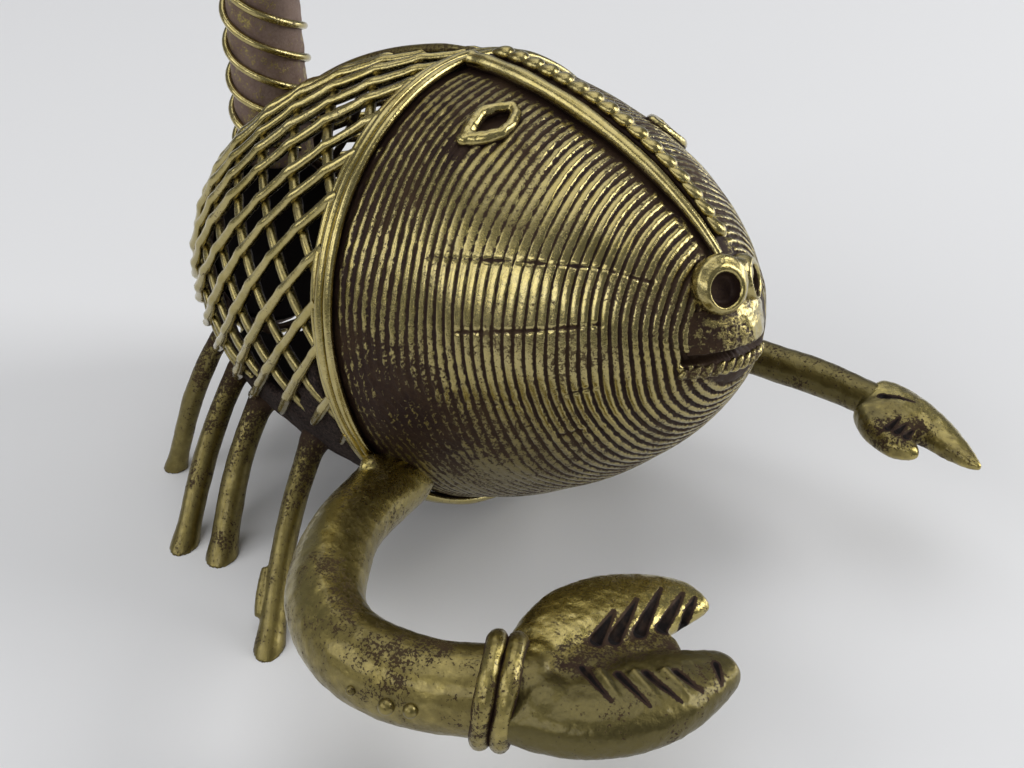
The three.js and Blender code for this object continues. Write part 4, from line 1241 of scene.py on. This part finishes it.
# %% Arm sizes
# Lumps, studs and stains are seen on the right arm only, and given by their pixels. Dull is a start and two rises.
# The right arm is left clean at its root, painted paler for a highlight there, and made duller in the bend and
# lower down, which dims the lamps' highlights there: part tarnish, part painted light. The left arm's dull above 1
# paints it dark, a painted shade.
ARMS = {
    "right": {
        "angle": 135.0, "root": 3.5, "wrist": 4.4, "stain_and_shade": 0.04, "dull_and_shade": (0.0, 0.55, 0.2),
        "route": (
            (-0.44, -0.136, 0.04), (-0.664, -0.264, 0.04), (-0.84, -0.424, 0.04), (-0.928, -0.624, 0.04),
            (-0.928, -0.824, 0.04), (-0.856, -1.032, 0.04), (-0.712, -1.24, 0.04)),
        "lumps": (((372, 464), 1.5), ((392, 458), 1.3), ((408, 468), 1.6), ((424, 482), 1.2)),
        "studs": (((387, 706), 0.8), ((411, 710), 0.72), ((352, 690), 0.5)),
        "stains": (
            (340, 492, 2.6, 0.42), (322, 560, 4.0, 0.3), (345, 600, 3.5, 0.3),
            (395, 640, 4.0, 0.36), (436, 650, 3.0, 0.36), (380, 705, 3.0, 0.25)),
    },
    "left": {
        "angle": -115.0, "root": 2.5, "wrist": 2.1, "stain_and_shade": 0.3, "dull_and_shade": (1.3, 0.0, 0.0),
        "route": ((0.12, -0.16, 0), (0.144, -0.44, 0), (0.176, -0.76, 0), (0.208, -1.04, 0), (0.2, -1.32, 0)),
        "lumps": (), "studs": (), "stains": (),
    },
}
ARM_STATION = 2.52
print("arms start at station", ARM_STATION)

# %% Arms
wrists = {}
for word, arm in ARMS.items():
    root = spot(ARM_STATION, arm["angle"])
    inside = spot(ARM_STATION, arm["angle"], -1.0)
    stops = [inside, root] + [root + np.array(step) * BAND_RADIUS * MM for step in arm["route"]]
    line = flow_line(stops, 90)
    share = np.linspace(0, 1, len(line))
    girth = arm["root"] + (arm["wrist"] - arm["root"]) * share
    girth = girth * (1 + 0.02 * np.sin(share * 19) + 0.12 * np.exp(-(share / 0.07) ** 2))
    parts = [strands("rod", [(line, girth, False)], 28)]
    for pixel, size in arm["lumps"]:
        found = seen(plain_arm, *pixel) or seen(plain_head, *pixel)
        parts.append(ball(found[0], (size, size * 0.8, size * 0.7)))
    rod = cast(f"arm_rod_{word}", parts, voxel=0.26, rounding=4, grain=0.16, lump=1.5)
    studs = [(seen(plain_arm, *pixel), size) for pixel, size in arm["studs"]]
    studs = [ball(found[0] + found[1] * 0.15 * MM, (size,) * 3) for found, size in studs]
    rod = join(rod.name, [rod] + studs)
    stain_and_shade = arm["stain_and_shade"] + 0.6 * smooth_step(hollows(rod, 14), 0.02, 0.15)
    for x, y, size, strength in arm["stains"]:
        stain_and_shade = stain_and_shade + strength * np.exp(-(distance_to(rod, [seen(plain_arm, x, y)[0]]) / size) ** 2)
    mark(rod, stain_and_shade)
    along_arm = distance_to(rod, [root])
    start, first_rise, second_rise = arm["dull_and_shade"]
    dull_and_shade = start + first_rise * smooth_step(along_arm, 6, 14) + second_rise * smooth_step(along_arm, 26, 33)
    mark(rod, dull_and_shade, "dull_and_shade")
    dress(rod, f"arm_{word}", "limb_brass")
    wrists[word] = (line[-1], unit(line[-1] - line[-3]))

# %% Cuffs
CUFF_WIRE = 1.0
CUFF_STEP = 1.85
CUFF_AHEAD = 0.1
CUFF_LEAN = 0.13
CUFF_REACH = ARMS["right"]["wrist"] + 0.15


def ring(middle, axis, turn, reach):
    """Points round an axis, at turns and reaches in mm."""
    across = np.array(Vector(axis).orthogonal().normalized())
    return middle + (across * np.cos(turn) + np.cross(axis, across) * np.sin(turn)) * reach * MM


wrist, along = wrists["right"]
along = unit(along - np.array(UP) * CUFF_LEAN)
turn = np.linspace(0, 2 * math.pi, 72, endpoint=False)[:, None]
for number in (1, 2):
    middle = wrist + along * ((number - 2) * CUFF_STEP + CUFF_AHEAD) * MM
    path = ring(middle, along, turn, CUFF_REACH * (1 + 0.012 * np.sin(turn * 3 + number)))
    girth = CUFF_WIRE * (1 + 0.05 * np.sin(turn[:, 0] * 5 + number * 2))
    hoop = strands("ring", [(path, girth, True)], 12)
    cuff = cast(f"cuff_band_{number}", [hoop], voxel=0.16, rounding=2, grain=0.16, lump=1.1)
    # Darker on the sides and inner face of each ring, where the rings touch each other and the wrist: painted shade
    # in the crevice.
    mark(cuff, 0.2 + 0.85 * (1 - smooth_step(distance_to(cuff, [middle]), 4.7, 5.4)))
    dress(cuff, f"cuff_ring_right_{number}", "limb_brass", 0.55)

# %% [markdown]
# ## Claws
# A claw is a flat hand of two fingers that part at a notch. Each finger starts as a tube with its own width
# and height, the palm is a squashed ball, and slots and ridges are set where the picture shows them on the
# upper faces. One boolean cuts the slots, then a remesh fuses the hand into a casting.

# %% Claw outlines
# An outline is a row of (along, aside, half width, half height) in mm; slots, grooves, ridges and web are pixels.
FLATNESS = 0.8
FINGERS = {
    "right": {
        "heading": -26.0, "ahead": 1.4,
        "palms": (((4.2, -0.4), (6.2, 6.6, 2.8)), ((0.6, -2.9), (3.6, 3.6, 3.4)), ((2.0, 1.6), (3.2, 3.6, 3.4))),
        "outlines": (
            ((0.5, 1.4, 3.0, 2.6), (2.5, 2.4, 3.6, 3.0), (5.0, 4.2, 4.2, 3.2), (8.0, 5.4, 5.0, 3.1),
             (12.0, 5.9, 4.9, 2.7), (16.0, 5.6, 4.0, 2.1), (18.8, 4.8, 3.0, 1.5), (20.4, 3.6, 1.5, 1.0),
             (21.2, 3.0, 0.3, 0.3)),
            ((-4.0, -1.6, 1.4, 1.2), (-2.0, -2.4, 2.6, 2.2), (1.0, -3.6, 3.7, 2.8), (4.0, -4.8, 4.3, 2.9),
             (7.0, -5.2, 4.8, 2.9), (10.2, -5.3, 4.7, 2.8), (13.5, -5.1, 4.1, 2.5), (16.6, -4.9, 2.8, 2.0),
             (18.7, -4.7, 1.9, 1.5), (19.4, -4.6, 1.2, 1.0)),
            ((3.0, -0.2, 2.0, 1.6), (7.0, -0.1, 2.4, 1.8), (11.0, 0.0, 2.5, 1.6), (14.0, 0.0, 2.6, 1.3),
             (15.4, 0.0, 2.0, 0.9), (15.9, 0.0, 0.6, 0.4)),
        ),
        "slots": (((596, 642), (614, 611)), ((614, 640), (637, 599)), ((639, 634), (661, 588)),
                  ((662, 630), (683, 593)), ((683, 627), (695, 597))),
        "grooves": (((582, 668), (611, 701)), ((618, 674), (650, 706)), ((646, 673), (682, 702)),
                    ((676, 672), (702, 691)), ((716, 664), (722, 684))),
        "ridges": (((596, 670), (622, 700)), ((632, 672), (662, 702)), ((662, 670), (694, 698))),
        "web": ((574, 656), (596, 655), (618, 652), (640, 648), (655, 647)),
        "wire": 0.52, "dull_and_shade": 1.45,
    },
    "left": {
        "heading": -101.0, "ahead": 0.0, "palms": (((3.4, -0.6), (4.8, 4.4, 2.2)),),
        "outlines": (
            ((-1.5, 0.6, 2.2, 2.0), (1.0, 1.0, 2.9, 2.1), (4.5, 1.0, 2.7, 2.0), (8.0, 0.5, 2.3, 1.7),
             (11.5, -0.3, 1.7, 1.3), (14.5, -0.9, 0.8, 0.8), (15.9, -1.0, 0.2, 0.3)),
            ((0.5, -2.0, 2.0, 1.7), (3.5, -3.8, 2.2, 1.8), (7.0, -4.6, 2.0, 1.5), (9.2, -4.6, 1.0, 0.9),
             (10.0, -4.6, 0.25, 0.3)),
        ),
        "slots": (((882, 396), (898, 397), (914, 402)), ((888, 428), (900, 418)), ((897, 432), (907, 424)),
                  ((906, 437), (914, 430))),
        "grooves": (),
        "ridges": (),
        "web": ((884, 430), (900, 432), (914, 436)),
        "wire": 0.34, "dull_and_shade": 0.8,
    },
}
print("claws:", {word: len(hand["outlines"]) for word, hand in FINGERS.items()}, "outlines")

# %% Claw tools
FINGER_ROWS, FINGER_SIDES = 40, 36


def hand_place(word, points):
    """Points of a hand's own plane, in mm, carried to the frame."""
    heading = math.radians(FINGERS[word]["heading"])
    wrist, along = wrists[word]
    start = wrist + along * FINGERS[word]["ahead"] * MM
    points = np.asarray(points, float) * MM
    ahead = np.array((math.cos(heading), math.sin(heading), 0))
    aside = np.array((-math.sin(heading), math.cos(heading), 0))
    return start + points[..., :1] * ahead + points[..., 1:2] * aside + points[..., 2:] * np.array((0, 0, 1.0))


def squared(wave):
    """A sine or cosine, pushed out a little towards a square section."""
    return np.sign(wave) * np.abs(wave) ** FLATNESS


def finger(word, outline):
    """A tube through (along, aside, half width, half height), closed at both ends."""
    table = np.array(outline)
    length = lengths(table[:, :2])
    share = np.linspace(0, length[-1], FINGER_ROWS + 1)
    rows = np.stack([np.interp(share, length, table[:, k]) for k in range(4)], 1)
    for _ in range(4):
        rows[1:-1] = (rows[:-2] + 2 * rows[1:-1] + rows[2:]) / 4
    way = unit(np.gradient(rows[:, :2], axis=0))
    rows[0, 2:] = rows[-1, 2:] = 0

    def shape(row, column):
        turn = 2 * math.pi * column / FINGER_SIDES
        at = rows[row]
        wide = at[:, 2] * squared(np.cos(turn))
        high = at[:, 3] * squared(np.sin(turn))
        side = np.stack([-way[row, 1], way[row, 0]], 1)
        return hand_place(word, np.c_[at[:, :2] + side * wide[:, None], high]), 0.0

    return wrapped("finger", FINGER_ROWS, FINGER_SIDES, shape)


def lines_on(faces, pixel_lines, sink, girth):
    """Wires along pixel lines, sunk by a share of a mm into the faces they are seen on."""
    paths = []
    for pixels in pixel_lines:
        found = seen_line(faces, pixels, 25)
        if len(found) > 2:
            taper = 0.1 + 1.1 * np.linspace(1, 0, len(found)) ** 0.8
            paths.append((np.array([p - n * sink * MM for p, n in found]), girth * taper, False))
    return paths


print("claw tools ready")

# %% Claws
NECK_BACK, NECK_AHEAD = 0.4, 3.4
SLOT_DIRT_AND_SHADE, WEB_DIRT, CLAW_STAIN = 1.75, 0.58, 0.08
for word, hand in FINGERS.items():
    heading = Matrix.Rotation(math.radians(hand["heading"]), 3, "Z")
    neck_at, neck_way = wrists[word]
    neck_ends = np.array([neck_at - neck_way * NECK_BACK * MM, neck_at + neck_way * NECK_AHEAD * MM])
    lumps = [finger(word, outline) for outline in hand["outlines"]]
    lumps += [ball(hand_place(word, (*centre, 0.0)), halves, heading) for centre, halves in hand["palms"]]
    lumps.append(strands("neck", [(neck_ends, ARMS[word]["wrist"] * np.array((0.97, 0.8)), False)], 24))
    claw = cast("hand", lumps, voxel=0.3, rounding=8)
    faces = skin(claw)
    slots = lines_on(faces, hand["slots"], 0.0, hand["wire"])
    slots += lines_on(faces, hand["grooves"], 0.0, hand["wire"] * 0.5)
    ribs = lines_on(faces, hand["ridges"], 0.05, hand["wire"])
    web = [p for p, _ in seen_line(faces, hand["web"], 24)]
    if ribs:
        claw = join("hand", [claw, strands("ribs", ribs, 10)])
    claw = cast("hand", [claw], voxel=0.2, rounding=2)
    cut(claw, strands("bars", slots, 10))
    claw = cast(f"claw_hand_{word}", [claw], voxel=0.16, rounding=1, grain=0.16, lump=1.2)
    deep = 0.7 * smooth_step(hollows(claw, 24), 0.03, 0.2)
    slot_points, slot_girths, _ = zip(*slots)
    slot_gap = distance_to(claw, np.vstack(slot_points), np.hstack(slot_girths))
    # The slots go near-black, a painted shade deep in the cuts, over their patina.
    slot_dirt_and_shade = SLOT_DIRT_AND_SHADE * (1 - smooth_step(slot_gap, -0.1, 0.35))
    web_dirt = WEB_DIRT * (1 - smooth_step(distance_to(claw, web), 1.4, 3.4))
    mark(claw, CLAW_STAIN + np.maximum(deep, np.maximum(slot_dirt_and_shade, web_dirt)))
    # The lower finger's dull value runs past 1, which paints it dark, a painted shade; the upper finger and the
    # rubbed edges stay bright.
    across = (corners(claw) - hand_place(word, np.zeros(3))) @ np.array(heading)[:, 1] / MM
    edge = smooth_step(-hollows(claw, 40), 0.10, 0.30)
    mark(claw, hand["dull_and_shade"] * (1 - smooth_step(across, -2.5, 3.0)) * (1 - 0.55 * edge), "dull_and_shade")
    dress(claw, f"claw_{word}", "limb_brass")

# %% [markdown]
# ## Tail
# The tail is a tapering rod, upright from the rear of the net, wound with bright wire over a dark purple core.
# The slant of the turns shows that three wires run side by side. The rod's sag and the turns are drawn curves;
# the sting at its end, which the picture cuts off, is a bulb drawn to a point.

# %% Tail rod
# Steps from the rear of the body, as shares of the band's radius.
TAIL_ROUTE = ((0.08, -0.18, -0.24), (0.08, -0.16, 0.4), (0.08, -0.168, 1.04), (0.08, -0.26, 1.76),
              (0.08, -0.54, 2.34), (0.08, -1.02, 2.64), (0.08, -1.44, 2.6))
TAIL_ROOT, TAIL_TIP = 4.8, 2.9

tail_start = CENTRE + np.array((0, REAR_LENGTH, 0)) * MM
tail_line = flow_line([tail_start + np.array(step) * BAND_RADIUS * MM for step in TAIL_ROUTE], 400)
tail_length = lengths(tail_line)[-1] / MM


def tail_girth(share):
    return TAIL_ROOT + (TAIL_TIP - TAIL_ROOT) * share ** 1.5


share = np.linspace(0, 1, 200)
core_line = tail_line[::2]
keep = where(core_line)[2] > -1.5
core = strands("core", [(core_line[keep], tail_girth(share[keep]), False)], 32)
core = cast("tail_rod", [core], voxel=0.32, rounding=3, grain=0.3, lump=2.2)
mark(core, 0.5)
dress(core, "tail_core", "dark_brass")

# %% Tail winding
TAIL_WIRE = 0.47
TAIL_WIRE_COUNT = 3
TAIL_WIRE_PITCH = 12.6
TAIL_WIRE_SPAN = (12.0, 88.0)
TAIL_WIRE_LIFT = 0.30

distance = np.arange(*TAIL_WIRE_SPAN, 0.3)
at = distance / tail_length
axis_points = np.stack([np.interp(at, np.linspace(0, 1, 400), tail_line[:, k]) for k in range(3)], 1)
side = np.array((1.0, 0, 0))
front = unit(np.cross(side, unit(np.gradient(axis_points, axis=0))))
reach = (tail_girth(at) + TAIL_WIRE_LIFT)[:, None]
winding_paths = []
for k in range(TAIL_WIRE_COUNT):
    turn = 2 * math.pi * (distance / TAIL_WIRE_PITCH + k / TAIL_WIRE_COUNT)
    turn = (turn + 0.12 * np.sin(distance * (0.31 + 0.07 * k)))[:, None]
    path = axis_points + (side * np.cos(turn) + front * np.sin(turn)) * reach * MM
    winding_paths.append((path, TAIL_WIRE * (1 + 0.07 * np.sin(distance * 0.9 + k)), False))
winding = strands("tail_winding", winding_paths, 10)
mark(winding, 0.35 * (1 - smooth_step(distance_to(winding, axis_points[::10]), 4.2, 5.4)))
dress(winding, "tail_wire", "wire_brass")

# %% Sting
STING_BULB, STING_LENGTH, STING_DROP = 4.2, 17.0, 8.0
STING_WAIST = 0.45
COLLAR_REACH, COLLAR_WIRE = 2.7, 0.5

sting_way = unit(tail_line[-1] - tail_line[-3])
share = np.linspace(0, 1, 40)
bulge = STING_BULB * np.sin(math.pi * np.clip(0.2 + share * 1.25, 0, 1)) ** 1.1
waist = STING_BULB * math.sin(math.pi * (0.2 + STING_WAIST * 1.25)) ** 1.1
point = waist * ((1 - share) / (1 - STING_WAIST)) ** 1.3
girth = np.maximum(0.35, np.where(share < STING_WAIST, bulge, point))
sting_line = tail_line[-1] + np.outer(share * STING_LENGTH, sting_way) * MM
sting_line[:, 2] -= STING_DROP * share ** 2.2 * MM
sting = strands("sting_rod", [(sting_line, girth, False)], 24)
turn = np.linspace(0, 2 * math.pi, 48, endpoint=False)[:, None]
collar = strands("collar", [(ring(sting_line[1], sting_way, turn, COLLAR_REACH), COLLAR_WIRE, True)], 10)
sting = cast("sting_point", [sting, collar], voxel=0.2, rounding=2, grain=0.14, lump=1.6)
mark(sting, 0.2 + 0.6 * smooth_step(hollows(sting, 14), 0.02, 0.12))
dress(sting, "sting", "limb_brass")

# %% [markdown]
# ## Stage and light
# A pale floor, soft windows and a dim room around. Polished metal shows what it mirrors, so the first window
# stands where the cheek mirrors it, as the bright streak in the picture shows; the others give the nose, the
# claw, the net and the far side something pale to mirror. All are soft and low, so nothing pale clips.

# %% Floor and room
FLOOR_TONE, FLOOR_ROUGHNESS = (0.84, 0.84, 0.85, 1), 0.9
ROOM_TONE, ROOM_STRENGTH = (0.93, 0.96, 1.0, 1), 0.20
clear()
bpy.ops.mesh.primitive_plane_add(size=4)
floor = bpy.context.object
floor.name = "floor"
paper = bpy.data.materials.new("floor_paper")
paper.use_nodes = True
paper_sockets = paper.node_tree.nodes["Principled BSDF"].inputs
paper_sockets["Base Color"].default_value = FLOOR_TONE
paper_sockets["Roughness"].default_value = FLOOR_ROUGHNESS
floor.data.materials.append(paper)

world = bpy.data.worlds.new("Room")
bpy.context.scene.world = world
world.use_nodes = True
world_sockets = world.node_tree.nodes["Background"].inputs
world_sockets["Color"].default_value = ROOM_TONE
world_sockets["Strength"].default_value = ROOM_STRENGTH
print("floor and room ready")

# %% Lamps
CHEEK_PIXEL = (520, 285)
WINDOW_AWAY, WINDOW_SIZE, WINDOW_POWER = 0.55, (0.34, 0.20), 0.52
BODY, FEET = (0, 0, 0.03), (0, 0, 0.02)
# Name, place, target, size and power of each lamp; lengths in metres.
LAMPS = (
    ("Sky", (0.1, 0.1, 0.9), BODY, (0.8, 0.8), 2.6),
    ("Second_window", (0.45, -0.50, 0.42), BODY, (0.30, 0.45), 2.6),
    ("Low_window", (0.45, -0.22, 0.07), FEET, (0.30, 0.10), 0.45),
    ("Back_card", (0.50, 0.38, 0.62), BODY, (0.60, 0.50), 0.65),
    ("Left_window", (-0.50, 0.30, 0.40), BODY, (0.40, 0.40), 1.0),
)


def lamp(name, place, target, size, power):
    light = bpy.data.lights.new(name, "AREA")
    light.shape = "RECTANGLE"
    light.size, light.size_y = size
    light.energy = power
    body = bpy.data.objects.new(name, light)
    body.location = place
    body.rotation_euler = (Vector(target) - Vector(place)).to_track_quat("-Z", "Y").to_euler()
    bpy.context.scene.collection.objects.link(body)


cheek, _ = seen(plain_head, *CHEEK_PIXEL)
cheek_out = outward(*where(cheek)[:2])
to_eye = unit(np.array(EYE_POINT) - cheek)
mirror = 2 * (to_eye @ cheek_out) * cheek_out - to_eye
lamp("Window", cheek + mirror * WINDOW_AWAY, cheek, WINDOW_SIZE, WINDOW_POWER)
for settings in LAMPS:
    lamp(*settings)
print("window towards", mirror.round(2))
